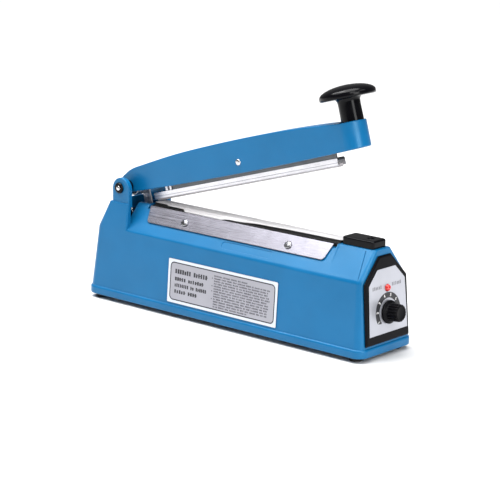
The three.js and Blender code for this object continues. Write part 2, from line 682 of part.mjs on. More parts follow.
function dialKnob() {
  const grip = new THREE.Shape();
  const count = DIAL.flutes * 4;
  for (let i = 0; i < count; i++) {
    const angle = i / count * 2 * Math.PI;
    const radius = DIAL.bodyRadius - 0.35 * (1 + Math.cos(angle * DIAL.flutes));
    const place = [radius * Math.cos(angle), radius * Math.sin(angle)];
    if (i === 0) grip.moveTo(...place);
    else grip.lineTo(...place);
  }
  const body = extrude(grip, 'x', DIAL.base + 1, DIAL.reach);
  const skirt = turned('x', [
    [0, DIAL.base], [DIAL.skirtRadius, DIAL.base], [DIAL.skirtRadius, DIAL.base + 1.8],
    [DIAL.skirtRadius - 1.6, DIAL.base + 3.2], [0, DIAL.base + 3.2],
  ], [0, 0], 28);
  return cut(union(skirt, body), rod('x', 3.3, DIAL.base - 1, 12, [0, 0], 16));
}

piece(dial, 'dial_knob', dialKnob(), blackPlastic);
piece(dial, 'timer_shaft', rod('x', 3, -10.6, 11.6, [0, 0], 16), aluminium);

// ---------------------------------------------------------------- timer board

piece(endWall, 'timer_board', box(-15.6, -13.9, -20, 20, 8, 50), boardGreen);
piece(endWall, 'timer_relay', box(-31.2, -15.9, -17, -2, 14, 33), relayBlue);
piece(endWall, 'timer_capacitor', rod('x', 5, -30.5, -15.9, [10, 24], 16), blackPlastic);

// ---------------------------------------------------------------- transformer

function transformerCore() {
  return cut(box(-27, 27, -9, 9, 0, 45), box(-18, -9, -10, 10, 9, 36), box(9, 18, -10, 10, 9, 36));
}

function transformerCoil() {
  const outer = box(-17.7, 17.7, -18, 18, 9.3, 35.7);
  return cut(outer, box(-9.3, 9.3, -9.3, 9.3, 0, 50));
}

function transformerBracket() {
  const strap = cut(box(-29, 29, -7, 7, -1.2, 46.8), box(-27.4, 27.4, -10, 10, -5, 45.4));
  const feet = [box(-42, -27.6, -7, 7, -1.2, 0.2), box(27.6, 42, -7, 7, -1.2, 0.2)];
  return cut(union(strap, ...feet), rod('z', 2, -3, 3, [-36, 0], 12), rod('z', 2, -3, 3, [36, 0], 12));
}

const transformer = new THREE.Group();
transformer.position.set(TRANSFORMER.x, 0, TRANSFORMER.foot);
sealer.add(transformer);
piece(transformer, 'transformer_core', transformerCore(), darkSteel);
piece(transformer, 'transformer_coil', transformerCoil(), coilYellow);
piece(transformer, 'transformer_bracket', transformerBracket(), steel);

// ---------------------------------------------------------------- label and cord inlet

const sideLabel = new THREE.Shape();
roundedOutline(sideLabel, LABEL_BOX);
piece(sideWall, 'rating_label', extrude(sideLabel, 'z', GAP, GAP + LABEL_SHEET, 3), foil);

const grommet = turned('x', [
  [3, 3.2], [3, -3.4], [4.7, -3.4], [4.7, GAP], [7.5, GAP],
  [7.5, 1.8], [6, 3.2], [3, 3.2],
].map(([radius, station]) => [radius, -station]), [0, CORD_UP], 20);
piece(rearWall, 'cord_grommet', grommet, blackRubber);

// ---------------------------------------------------------------- arm

const arm = new THREE.Group();
arm.position.copy(HINGE);
arm.rotation.y = -OPEN_ANGLE;
sealer.add(arm);

// Side outline of the arm in its own frame, with the hinge at the origin: a round rear end,
// a long crowned back and a flat rim round the knob. `shrink` draws the inside of the shell.
function armOutline(shrink) {
  const rear = ARM.rearRadius - shrink;
  const bottom = shrink > 0 ? ARM.bottom - 4 : ARM.bottom;
  const start = Math.PI + Math.asin(-bottom / rear);
  const finish = THREE.MathUtils.degToRad(112);
  const front = shrink > 0 ? ARM.noseX - CUP.radius - 3 : ARM.noseX + ARM.half + 5;
  const shape = new THREE.Shape();
  shape.moveTo(front, bottom);
  shape.lineTo(front, ARM.rim - shrink);
  if (shrink === 0) shape.lineTo(ARM.rimX, ARM.rim);
  shape.splineThru([
    new THREE.Vector2(shrink > 0 ? 238 : 250, 17.1 - shrink),
    new THREE.Vector2(213, 19.6 - shrink),
    new THREE.Vector2(168, 21.1 - shrink),
    new THREE.Vector2(114, 21 - shrink),
    new THREE.Vector2(65, 19.6 - shrink),
    new THREE.Vector2(22, 16.3 - shrink),
    new THREE.Vector2(6, 14.5 - shrink),
    new THREE.Vector2(rear * Math.cos(finish), rear * Math.sin(finish)),
  ]);
  shape.absarc(0, 0, rear, finish, start, false);
  return shape;
}

// Plan outline of the arm with its half-round nose.
function armPlan(half, rearX) {
  const shape = new THREE.Shape();
  shape.moveTo(rearX, -half);
  shape.lineTo(ARM.noseX, -half);
  shape.absarc(ARM.noseX, 0, half, -Math.PI / 2, Math.PI / 2, false);
  shape.lineTo(rearX, half);
  return shape;
}

function armShell() {
  const inner = ARM.half - ARM.wall;
  const outside = extrude(armOutline(0), 'y', -ARM.half, ARM.half, 10)
    .intersect(extrude(armPlan(ARM.half, -30), 'z', -20, 40, 14));
  const hollow = extrude(armOutline(1.9), 'y', -inner, inner, 10);
  const noseHollow = extrude(armPlan(inner, ARM.noseX - CUP.radius - 6), 'z', ARM.bottom - 4,
    CUP.floorUnderside, 12);
  const cup = rod('z', CUP.radius, CUP.floor, 30, [CUP.x, 0], 32);
  const rearNotch = box(-ARM.rearRadius - 2, -5, -inner, inner, ARM.bottom - 2, 0.5);
  const pinHole = rod('y', HINGE_PIN_RADIUS + GAP, -30, 30, [0, 0]);
  const pivotHole = rod('y', BAR_PIVOT.radius + GAP, -30, 30, [BAR_PIVOT.x, BAR_PIVOT.z], 12);
  const screwHole = rod('z', 2.3, 0, 12, [KNOB.x, 0], 12);
  const tongueHole = rod('z', 1.8, 5, TONGUE.seat + 4, [TONGUE.screwX, TONGUE.screwY], 12);
  return cut(outside, hollow, noseHollow, rearNotch, cup, pinHole, pivotHole, screwHole, tongueHole);
}

piece(arm, 'arm_shell', armShell(), bluePlastic);

function pressKnob() {
  const foot = CUP.floor + GAP;
  const points = [
    [2, foot], [KNOB.stemRadius, foot], [KNOB.stemRadius, foot + 12],
    [KNOB.stemRadius - 0.2, KNOB.capBottom - 5], [KNOB.stemRadius + 0.9, KNOB.capBottom - 1.5],
    [KNOB.stemRadius + 3.5, KNOB.capBottom], [KNOB.capRadius - 1.6, KNOB.capBottom - 0.4],
    [KNOB.capRadius - 0.4, KNOB.capBottom + 0.3], [KNOB.capRadius, KNOB.capBottom + KNOB.rim],
  ];
  const steps = 7;
  const rise = KNOB.capTop - KNOB.capBottom - KNOB.rim;
  for (let i = 1; i <= steps; i++) {
    const angle = i / steps * Math.PI / 2;
    points.push([KNOB.capRadius * Math.cos(angle), KNOB.capBottom + KNOB.rim + rise * Math.sin(angle)]);
  }
  points[points.length - 1][0] = 0;
  points.push([0, 28], [2, 28], [2, foot]);
  return turned('z', points, [KNOB.x, 0], 32);
}

piece(arm, 'press_knob', pressKnob(), blackPlastic);

const knobScrew = piece(arm, 'knob_screw', screwShape(4.2, 2.4, 1.7, 20), steel);
knobScrew.position.set(KNOB.x, 0, CUP.floorUnderside - GAP);
knobScrew.rotation.x = Math.PI;

piece(arm, 'bar_pivot_pin', turned('y', [
  [0, -14.9], [1.6, -14.9], [2.6, -14.3], [BAR_PIVOT.radius, -14.3], [BAR_PIVOT.radius, 14.3],
  [2.6, 14.3], [1.6, 14.9], [0, 14.9],
], [BAR_PIVOT.x, BAR_PIVOT.z], 14), steel);

// Steel tongue fixed under the back of the arm; its lower end dips into the well.
function switchTongue() {
  const near = TONGUE.y - TONGUE.sheet / 2;
  const far = TONGUE.y + TONGUE.sheet / 2;
  const blade = box(0, TONGUE.front, near, far, TONGUE.tip, -3.4);
  const neck = box(0, 14, near, far, -6.4, -3.4);
  const riser = box(12, 14, near, far, -3.6, TONGUE.seat + 0.2);
  const flange = box(12, 30, near, 9, TONGUE.seat, TONGUE.seat + 1.2);
  return cut(union(blade, neck, riser, flange),
    rod('z', 1.8, 8, 16, [TONGUE.screwX, TONGUE.screwY], 12));
}

piece(arm, 'switch_tongue', switchTongue(), steel);
const tongueScrew = piece(arm, 'tongue_screw', screwShape(2.9, 1.5, 1.5, 4), steel);
tongueScrew.position.set(TONGUE.screwX, TONGUE.screwY, TONGUE.seat - GAP);
tongueScrew.rotation.x = Math.PI;

// ---------------------------------------------------------------- pressure bar

// A folded channel whose two lugs hang on the pivot pin.
function barChannel() {
  const { rear, front, half, sheet, top, bottom } = CHANNEL;
  const outer = box(rear, front, -half, half, bottom, top);
  const lugs = box(BAR_PIVOT.x - 8, BAR_PIVOT.x + 8, -half, half, bottom, BAR_PIVOT.z + 5);
  const trough = box(rear - 1, front + 1, -half + sheet, half - sheet, bottom + sheet, BAR_PIVOT.z + 9);
  const bore = rod('y', BAR_PIVOT.radius + GAP, -20, 20, [BAR_PIVOT.x, BAR_PIVOT.z], 14);
  return cut(union(outer, lugs), trough, bore, ...barRivetHoles());
}

function barRivetHoles() {
  return [RIVETS.rear, RIVETS.front].map((x) => rod('z', RIVETS.radius + GAP, -30, 0, [x, 0], 12));
}

// The extrusion has a groove under it that holds the silicone strip.
function barProfile() {
  const { rear, front, half, top, bottom } = BAR;
  const bar = box(rear, front, -half, half, bottom, top);
  const groove = box(rear - 1, front + 1, -STRIP.half - GAP, STRIP.half + GAP, bottom - 1,
    STRIP.top + GAP);
  return cut(bar, groove, ...barRivetHoles());
}

function guideClip() {
  const { rear, front, half, sheet, post, inset } = CLIP;
  const top = CHANNEL.top - 0.4;
  const foot = box(rear, front, -half, half, CHANNEL.bottom, CHANNEL.bottom + sheet);
  const posts = [rear + inset, front - inset - post].map(
    (x) => box(x, x + post, -half, half, CHANNEL.bottom, top));
  return union(foot, ...posts);
}

piece(arm, 'bar_channel', barChannel(), darkSteel);
piece(arm, 'bar_profile', barProfile(), aluminium);
piece(arm, 'silicone_strip', box(BAR.rear + 1, BAR.front - 1, -STRIP.half, STRIP.half,
  STRIP.bottom, STRIP.top), silicone);
piece(arm, 'bar_guide_clip', guideClip(), aluminium);

for (const end of ['rear', 'front']) {
  const rivet = turned('z', [
    [0, STRIP.top + 0.6], [RIVETS.radius, STRIP.top + 0.6], [RIVETS.radius, CHANNEL.bottom + 1.5],
    [2.8, CHANNEL.bottom + 1.5], [2, CHANNEL.bottom + 2.8], [0, CHANNEL.bottom + 2.8],
  ], [RIVETS[end], 0], 12);
  piece(arm, `bar_rivet_${end}`, rivet, steel);
}

// ---------------------------------------------------------------- origin

// The origin lies on the floor under the middle of the whole object.
const bounds = new THREE.Box3().setFromObject(sealer, true);
sealer.position.x = -(bounds.min.x + bounds.max.x) / 2;

export default sealer;
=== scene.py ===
"""The looks of a hand impulse heat sealer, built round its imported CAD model.

Shapes are drawn in millimetres in the machine's own frames (base, arm, walls and slopes) and
placed in metres by each frame's matrix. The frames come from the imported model.
"""
import random
from contextlib import contextmanager
from math import asin, atan2, cos, degrees, hypot, pi, radians, sin
from types import SimpleNamespace as Sizes

import bmesh
import bpy
from mathutils import Matrix, Vector


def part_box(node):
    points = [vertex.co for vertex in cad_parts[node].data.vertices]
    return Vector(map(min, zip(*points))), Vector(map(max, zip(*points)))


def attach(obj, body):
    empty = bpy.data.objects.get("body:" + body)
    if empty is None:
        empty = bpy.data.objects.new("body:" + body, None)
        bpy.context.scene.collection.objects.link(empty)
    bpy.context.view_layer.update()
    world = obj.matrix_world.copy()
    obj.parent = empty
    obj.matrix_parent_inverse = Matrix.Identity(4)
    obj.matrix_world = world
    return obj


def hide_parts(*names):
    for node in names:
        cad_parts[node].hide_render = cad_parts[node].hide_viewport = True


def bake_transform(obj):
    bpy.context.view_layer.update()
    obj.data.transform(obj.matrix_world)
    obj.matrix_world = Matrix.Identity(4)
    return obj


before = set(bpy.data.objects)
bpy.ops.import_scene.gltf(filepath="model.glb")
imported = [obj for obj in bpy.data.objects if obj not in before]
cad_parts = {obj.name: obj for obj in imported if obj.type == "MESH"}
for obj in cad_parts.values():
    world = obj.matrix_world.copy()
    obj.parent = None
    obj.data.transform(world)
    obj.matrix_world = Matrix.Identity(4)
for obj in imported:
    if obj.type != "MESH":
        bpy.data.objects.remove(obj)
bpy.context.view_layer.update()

# ---------------- driving dimensions, mm

MM = 0.001
SKIRT = Sizes(bottom=4, top=11.6, corner=10, end=160, half=36)
BODY = Sizes(end=158.5, half=34.5, corner=8)
CREASE = Sizes(z=67, rear=-151.5, front=154.3, half=30.5, corner=6)
RIDGE = Sizes(z=89.9, rear=-118.3, front=152.7, half=9.8)
CHEEK = Sizes(top=91.5, front=-113.8, rear=-137, half=28, inner=24, well_low=-146, well_top=-134)
EAR = Sizes(x=-124.3, z=103.4, radius=10.3, outer=26.7, inner=21.9)
FRONT_BLOCK = Sizes(rear=113.2, half=10.6, z=90.3)
RECESS = Sizes(x0=-3, x1=54, low=4, top=10.8, corner=3, depth=0.5)
END_GROOVE = Sizes(foot=149.8, head=143.8, low=2.5, high=29, width=0.9, depth=0.5)
WALL = 2.8
HINGE = (-125.5, 104.5)
OPEN_ANGLE = radians(16.1)
PIN_RADIUS = 2.3
ARM = Sizes(half=14, wall=2.4, bottom=-5.6, rear=11.6, nose=254.6, rim=16.8, belly=2.3)
CUP = Sizes(x=257.2, radius=10.7, floor=8.5, under=5.8)
KNOB = Sizes(x=258, stem=9.6, cap=23.8, bottom=36.5, rim=2.3, top=47)
BAR = Sizes(rear=19.5, front=238, half=5.2, top=-12.3, bottom=-16.9)
CHANNEL = Sizes(rear=43.6, front=237.7, half=4.6, sheet=1, top=-3, bottom=-12, rivets=(70, 215), hole=1.8,
                cutback=9)
STRIP = Sizes(half=3.4, top=-15.4, bottom=-18.2)
BAR_PIVOT = Sizes(x=136.5, z=1.8, radius=1.7)
BED = Sizes(rear=-101, front=113, seat=86.5)
COVER = Sizes(rear=116.3, front=149, half=9, z=97.2, corner=2.2, screw=139.5)
PLATE_SCREWS = dict(rear=-52.5, front=66.5, up=19.4)
DIAL = Sizes(up=26.7, skirt=9.8, body=7.5, base=3.4, reach=16.4, flutes=18)
LAMP = Sizes(up=46.9, radius=3)
LABEL_FACE = 2.8
SIDE_LABEL = Sizes(x0=-59, x1=67.5, low=1.8, top=41, face=0.6)
FOOT_RADIUS = 6

# ---------------- frames

def shift(place, x=0, y=0, z=0):
    return place @ Matrix.Translation((x, y, z))


plate_low, plate_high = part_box("bottom_plate")
BASE = Matrix.Translation(((plate_low[0] + plate_high[0]) / 2, 0, 0)) @ Matrix.Scale(MM, 4)
HINGE_FRAME = shift(BASE, HINGE[0], 0, HINGE[1])
ARM_FRAME = HINGE_FRAME @ Matrix.Rotation(-OPEN_ANGLE, 4, "Y")
PIVOT_FRAME = shift(ARM_FRAME, BAR_PIVOT.x, 0, BAR_PIVOT.z)
END_LEAN = atan2(BODY.end - CREASE.front, CREASE.z - SKIRT.top)
END_WALL = shift(BASE, BODY.end, 0, SKIRT.top) @ Matrix.Rotation(-END_LEAN, 4, "Y")
REAR_LEAN = atan2(BODY.end + CREASE.rear, CREASE.z - SKIRT.top)
REAR_WALL = shift(BASE, -BODY.end, 0, SKIRT.top) @ Matrix.Rotation(REAR_LEAN, 4, "Y")
SIDE_LEAN = atan2(BODY.half - CREASE.half, CREASE.z - SKIRT.top)
SIDE_WALL = (shift(BASE, 0, -BODY.half, SKIRT.top)
             @ Matrix.Rotation(pi / 2 - SIDE_LEAN, 4, "X"))


def slope_frames(top):
    """Frames on the left and right slopes: x along the crease, y up the slope, z out of it."""
    lean = Matrix.Rotation(atan2(top.z - CREASE.z, CREASE.half - top.half), 4, "X")
    left = shift(BASE, 0, -CREASE.half, CREASE.z)
    right = shift(BASE, 0, CREASE.half, CREASE.z) @ Matrix.Rotation(pi, 4, "Z")
    return {"left": left @ lean, "right": right @ lean}


SLOPES = slope_frames(RIDGE)
BLOCK_SLOPES = slope_frames(FRONT_BLOCK)
# The right slope's frame is turned about, so x changes its sign there.
SIDES = (("left", 1), ("right", -1))
CORNERS = [(end, side) for end in ("front", "rear") for side in ("left", "right")]
ALONG_X = Matrix.Rotation(pi / 2, 4, "Y")
ALONG_Y = Matrix.Rotation(-pi / 2, 4, "X")

# ---------------- camera, light and floor

def link(name, data):
    obj = bpy.data.objects.new(name, data)
    bpy.context.scene.collection.objects.link(obj)
    return obj


VIEW_AZIMUTH = radians(41.298)
VIEW_ELEVATION = radians(13.755)
VIEW_ROLL = radians(0.5715)
VIEW_DISTANCE = 1.7123
VIEW_TARGET = BASE @ Vector((7.41, 0, 64.89))
VIEW_LENS = 141.96


def add_camera():
    data = bpy.data.cameras.new("camera")
    data.lens = VIEW_LENS
    data.sensor_width = 36
    data.clip_end = 20
    camera = link("camera", data)
    back = Vector((sin(VIEW_AZIMUTH) * cos(VIEW_ELEVATION),
                   -cos(VIEW_AZIMUTH) * cos(VIEW_ELEVATION), sin(VIEW_ELEVATION)))
    right = Vector((cos(VIEW_AZIMUTH), sin(VIEW_AZIMUTH), 0))
    up = back.cross(right)
    rolled_right = right * cos(VIEW_ROLL) + up * sin(VIEW_ROLL)
    rolled_up = up * cos(VIEW_ROLL) - right * sin(VIEW_ROLL)
    turn = Matrix((rolled_right, rolled_up, back)).transposed().to_4x4()
    camera.matrix_world = Matrix.Translation(VIEW_TARGET + back * VIEW_DISTANCE) @ turn
    bpy.context.scene.camera = camera


def add_light(name, kind, power, back):
    """A lamp that shines the opposite way to the vector back."""
    data = bpy.data.lights.new(name, kind)
    data.energy = power
    light = link(name, data)
    light.rotation_euler = back.to_track_quat("Z", "Y").to_euler()
    return light


def add_softbox(name, place, target, width, height, power):
    light = add_light(name, "AREA", power, Vector(place) - Vector(target))
    light.location = place
    light.data.shape = "RECTANGLE"
    light.data.size = width
    light.data.size_y = height


def add_studio():
    sun = add_light("overhead_diffuser", "SUN", 4.2, Vector((-0.1, -0.05, 1)))
    sun.data.angle = radians(50)
    add_softbox("left_softbox", (-0.58, -0.8, 1.88), (0, 0, 0.08), 1.3, 1.3, 19)
    add_softbox("right_softbox", (1.9, -0.45, 0.6), (0.1, 0, 0.1), 0.7, 0.9, 15)
    add_softbox("slope_softbox", (-0.78, -0.22, 1.55), (0.05, 0, 0.1), 0.5, 0.8, 12.5)
    add_softbox("rear_softbox", (1.25, 0.4, 1.35), (0, 0, 0.1), 0.7, 0.7, 5)
    add_softbox("edge_softbox", (1.25, -0.75, 1.2), (0.1, 0, 0.1), 0.6, 0.9, 12)
    world = bpy.data.worlds.new("studio")
    bpy.context.scene.world = world
    world.use_nodes = True
    sky = world.node_tree.nodes["Background"].inputs
    sky["Color"].default_value = (1, 1, 1, 1)
    sky["Strength"].default_value = 0.2
    bpy.context.scene.view_settings.view_transform = "Standard"


# ---------------- materials

# The wave texture's scale that makes one band in each unit of its coordinates.
ONE_BAND = 0.314159


def surface(mat):
    return mat.node_tree.nodes["Principled BSDF"]


def fill(node, values):
    for socket, value in values.items():
        node.inputs[socket].default_value = value


def add_node(mat, kind, values, **settings):
    node = mat.node_tree.nodes.new(kind)
    fill(node, values)
    for key, value in settings.items():
        setattr(node, key, value)
    return node


def wire(mat, source, node, socket):
    mat.node_tree.links.new(source, node.inputs[socket])


def shader(name, colour, roughness, metallic=0.0, **sockets):
    """A Principled material. Each extra keyword is a socket's name with _ for a space."""
    mat = bpy.data.materials.new(name)
    mat.use_nodes = True
    fill(surface(mat), {"Base Color": (*colour, 1), "Roughness": roughness, "Metallic": metallic})
    fill(surface(mat), {socket.replace("_", " "): value for socket, value in sockets.items()})
    return mat


def place_on_piece(mat, grain, turn):
    """Coordinates fixed to the piece, counted in grains of the given size in millimetres."""
    coord = add_node(mat, "ShaderNodeTexCoord", {})
    mapping = add_node(mat, "ShaderNodeMapping", {}, vector_type="TEXTURE")
    fill(mapping, {"Scale": [size * MM for size in grain], "Rotation": (0, turn, 0)})
    wire(mat, coord.outputs["Object"], mapping, "Vector")
    return mapping.outputs["Vector"]


def noise(mat, grain, detail=3.0, turn=0.0):
    if not isinstance(grain, tuple):
        grain = (grain, grain, grain)
    node = add_node(mat, "ShaderNodeTexNoise", {"Scale": 1.0, "Detail": detail})
    wire(mat, place_on_piece(mat, grain, turn), node, "Vector")
    return node.outputs["Fac"]


def bands(mat, spacing, direction, distortion=0.0):
    node = add_node(mat, "ShaderNodeTexWave", {"Scale": ONE_BAND, "Distortion": distortion},
                    wave_type="BANDS", bands_direction=direction)
    wire(mat, place_on_piece(mat, (spacing,) * 3, 0), node, "Vector")
    return node.outputs["Fac"]


def vary(mat, pattern, low, high):
    """Runs the roughness between two values with a pattern."""
    node = add_node(mat, "ShaderNodeMapRange",
                    {"From Min": 0.35, "From Max": 0.65, "To Min": low, "To Max": high})
    wire(mat, pattern, node, "Value")
    wire(mat, node.outputs["Result"], surface(mat), "Roughness")


def tint(mat, pattern, low, high, start=0.35, stop=0.65):
    """Runs the base colour between two colours with a pattern."""
    node = add_node(mat, "ShaderNodeValToRGB", {})
    for end, colour, position in ((0, low, start), (1, high, stop)):
        node.color_ramp.elements[end].position = position
        node.color_ramp.elements[end].color = (*colour, 1)
    wire(mat, pattern, node, "Fac")
    wire(mat, node.outputs["Color"], surface(mat), "Base Color")


def mottle(mat, colour, pattern, low, high):
    """Runs the base colour between two shares of one colour with a pattern."""
    tint(mat, pattern, scaled(colour, low), scaled(colour, high))


def emboss(mat, pattern, height):
    """Bumps the surface by a pattern; the height is in millimetres."""
    node = add_node(mat, "ShaderNodeBump", {"Distance": height * MM, "Strength": 1.0})
    wire(mat, pattern, node, "Height")
    normal = surface(mat).inputs["Normal"]
    if normal.is_linked:
        wire(mat, normal.links[0].from_socket, node, "Normal")
    wire(mat, node.outputs["Normal"], surface(mat), "Normal")


def scaled(colour, factor):
    return tuple(channel * factor for channel in colour)


def moulded_plastic(name, colour, roughness, grain=0.35, height=0.012, gloss=0.42):
    """Moulded plastic: a fine spark-eroded grain and faint flow marks in its gloss and colour."""
    mat = shader(name, colour, roughness, Specular_IOR_Level=gloss)
    mottle(mat, colour, noise(mat, 45), 0.94, 1.06)
    vary(mat, noise(mat, (30, 8, 8)), roughness - 0.04, roughness + 0.05)
    emboss(mat, noise(mat, grain, 2), height)
    return mat


def brushed_metal(name, colour, roughness, turn=0.0):
    """Rolled metal: fine lines along the piece, with soft cloudy stains in its gloss."""
    mat = shader(name, colour, roughness, 1.0)
    mottle(mat, colour, noise(mat, 14, 4), 0.9, 1.05)
    lines = noise(mat, (60, 0.25, 0.25), 3, turn)
    vary(mat, lines, roughness - 0.07, roughness + 0.08)
    emboss(mat, lines, 0.004)
    return mat


def plated_metal(name, colour, roughness):
    """Plated small parts: a little mottling and a fine tumbled surface."""
    mat = shader(name, colour, roughness, 1.0)
    mottle(mat, colour, noise(mat, 2.5, 4), 0.86, 1.08)
    vary(mat, noise(mat, 1.2, 3), roughness - 0.06, roughness + 0.1)
    emboss(mat, noise(mat, 0.25, 2), 0.004)
    return mat


def rubber(name, colour, roughness, spread=0.25):
    mat = shader(name, colour, roughness, Specular_IOR_Level=0.3)
    mottle(mat, colour, noise(mat, 3, 4), 1 - spread, 1 + spread)
    emboss(mat, noise(mat, 0.2, 3), 0.02)
    return mat


def phenolic():
    """Pressed phenolic board: dull black with short pale fibres."""
    mat = shader("phenolic_board", (0.014, 0.013, 0.013), 0.42)
    tint(mat, noise(mat, (2.2, 0.3, 0.3), 5), (0.009, 0.009, 0.009), (0.03, 0.027, 0.026), 0.5, 0.75)
    emboss(mat, noise(mat, (1.6, 0.3, 0.3), 4), 0.01)
    return mat


def glass_cloth():
    """PTFE-coated glass cloth: a plain weave under a greasy pale coat, a little heat-stained."""
    mat = shader("ptfe_cloth", (0.70, 0.67, 0.66), 0.38, Specular_IOR_Level=0.55, Sheen_Weight=0.15)
    tint(mat, noise(mat, (40, 5, 5), 4), (0.55, 0.53, 0.54), (0.80, 0.79, 0.80), 0.3, 0.7)
    vary(mat, noise(mat, 6, 3), 0.3, 0.48)
    emboss(mat, bands(mat, 0.55, "X"), 0.02)
    emboss(mat, bands(mat, 0.55, "Y"), 0.02)
    return mat


def printed_film(name, colour):
    mat = shader(name, colour, 0.34, 0.55)
    mottle(mat, colour, noise(mat, 30, 3), 0.95, 1.04)
    vary(mat, noise(mat, (20, 0.4, 0.4), 3), 0.28, 0.42)
    emboss(mat, noise(mat, 0.3, 2), 0.003)
    return mat


def ink(name, colour, spread=0.2):
    mat = shader(name, colour, 0.45)
    mottle(mat, colour, noise(mat, 1.5, 3), 1 - spread, 1 + spread)
    return mat


def lamp_lens():
    mat = shader("lamp_lens", (0.62, 0.012, 0.008), 0.12, Specular_IOR_Level=0.6,
                 Subsurface_Weight=0.25, Coat_Weight=0.6)
    tint(mat, noise(mat, 1.4, 2), (0.45, 0.006, 0.004), (0.75, 0.03, 0.02))
    emboss(mat, noise(mat, 0.8, 2), 0.02)
    return mat


def circuit_board():
    mat = shader("circuit_board", (0.02, 0.16, 0.06), 0.3)
    tracks = noise(mat, (6, 1.2, 4), 1)
    tint(mat, tracks, (0.012, 0.10, 0.035), (0.05, 0.26, 0.10), 0.5, 0.53)
    emboss(mat, tracks, 0.03)
    return mat


def winding_tape():
    mat = shader("winding_tape", (0.65, 0.42, 0.06), 0.4)
    layers = bands(mat, 3.0, "Z", distortion=0.4)
    tint(mat, layers, (0.50, 0.30, 0.04), (0.74, 0.50, 0.10), 0.2, 0.8)
    emboss(mat, layers, 0.06)
    return mat


def laminations():
    """A stack of stamped sheets, seen as fine lines across the core."""
    mat = shader("core_laminations", (0.10, 0.10, 0.11), 0.5, 0.8)
    sheets = bands(mat, 0.9, "Y")
    tint(mat, sheets, (0.03, 0.03, 0.032), (0.17, 0.17, 0.18), 0.2, 0.8)
    emboss(mat, sheets, 0.05)
    return mat


BLUE = (0.001, 0.112, 0.28)
blue_plastic = moulded_plastic("blue_plastic", BLUE, 0.33, gloss=0.55)
fill(surface(blue_plastic), {"Specular Tint": (0.5, 0.85, 1, 1)})
black_gloss = moulded_plastic("black_gloss", (0.002, 0.002, 0.003), 0.15, 0.8, 0.004, 0.13)
black_satin = moulded_plastic("black_satin", (0.002, 0.002, 0.003), 0.32, gloss=0.08)
black_rubber = rubber("black_rubber", (0.02, 0.02, 0.02), 0.7)
bright_steel = plated_metal("bright_steel", (0.62, 0.62, 0.64), 0.2)
zinc_sheet = plated_metal("zinc_sheet", (0.52, 0.53, 0.55), 0.34)
dark_steel = brushed_metal("dark_steel", (0.13, 0.14, 0.15), 0.42, turn=-OPEN_ANGLE)
tongue_steel = brushed_metal("tongue_steel", (0.56, 0.56, 0.60), 0.4)
plate_metal = brushed_metal("plate_aluminium", (0.235, 0.23, 0.265), 0.27)
screw_steel = plated_metal("screw_steel", (0.38, 0.38, 0.40), 0.24)
bar_metal = brushed_metal("bar_aluminium", (0.70, 0.695, 0.73), 0.3, turn=-OPEN_ANGLE)
shaft_metal = plated_metal("shaft_aluminium", (0.72, 0.72, 0.73), 0.3)
brass = plated_metal("brass", (0.70, 0.47, 0.17), 0.24)
ribbon_metal = brushed_metal("nichrome_ribbon", (0.40, 0.37, 0.35), 0.36)
silicone = rubber("silicone", (0.42, 0.40, 0.41), 0.6, 0.05)
phenolic_board = phenolic()
cloth_coat = glass_cloth()
label_film = printed_film("label_film", (0.36, 0.36, 0.40))
dial_film = printed_film("dial_film", (0.47, 0.48, 0.53))
dark_ink = ink("dark_ink", (0.018, 0.018, 0.022))
grey_ink = ink("grey_ink", (0.07, 0.07, 0.085))
legend_ink = ink("legend_ink", (0.2, 0.2, 0.22))
pale_ink = ink("pale_ink", (0.60, 0.64, 0.70), 0.03)
white_ink = ink("white_ink", (0.82, 0.82, 0.82))
red_lens = lamp_lens()
green_board = circuit_board()
coil_tape = winding_tape()
core_sheets = laminations()
relay_plastic = moulded_plastic("relay_plastic", (0.02, 0.07, 0.34), 0.3)
floor_paper = shader("floor_paper", (0.64, 0.64, 0.64), 0.8)
vary(floor_paper, noise(floor_paper, 12), 0.65, 0.78)

# ---------------- mesh tools


@contextmanager
def opened(mesh):
    """The mesh as a bmesh that is written back at the end."""
    work = bmesh.new()
    work.from_mesh(mesh)
    yield work
    work.to_mesh(mesh)
    work.free()


def mesh_object(name, points, faces, place):
    """A closed mesh with its faces pointing out, placed in metres."""
    mesh = bpy.data.meshes.new(name)
    mesh.from_pydata([place @ Vector(p) for p in points], [], faces)
    with opened(mesh) as work:
        bmesh.ops.remove_doubles(work, verts=work.verts, dist=1e-7)
        bmesh.ops.recalc_face_normals(work, faces=work.faces)
    return link(name, mesh)


def walls(levels, count, first=0):
    """Quads between rings of points, each ring joined to the next."""
    quads = []
    for level in range(levels - 1):
        ring = first + level * count
        for i in range(count):
            a, b = ring + i, ring + (i + 1) % count
            quads.append((a, b, b + count, a + count))
    return quads


def capped(levels, count, first=0):
    """The same quads, with a face over the first ring and over the last."""
    last = first + (levels - 1) * count
    return [range(first, first + count), range(last, last + count)] + walls(levels, count, first)


def loft(name, rings, place):
    """Rings with the same number of points, joined in order and closed at both ends."""
    points = [point for ring in rings for point in ring]
    return mesh_object(name, points, capped(len(rings), len(rings[0])), place)


def extrude(name, outline, axis, low, high, place):
    """A flat outline pushed along one axis: (Y, Z) along X, (X, Z) along Y, (X, Y) along Z."""
    order = {"x": lambda a, b, s: (s, a, b), "y": lambda a, b, s: (a, s, b),
             "z": lambda a, b, s: (a, b, s)}[axis]
    return loft(name, [[order(a, b, s) for a, b in outline] for s in (low, high)], place)


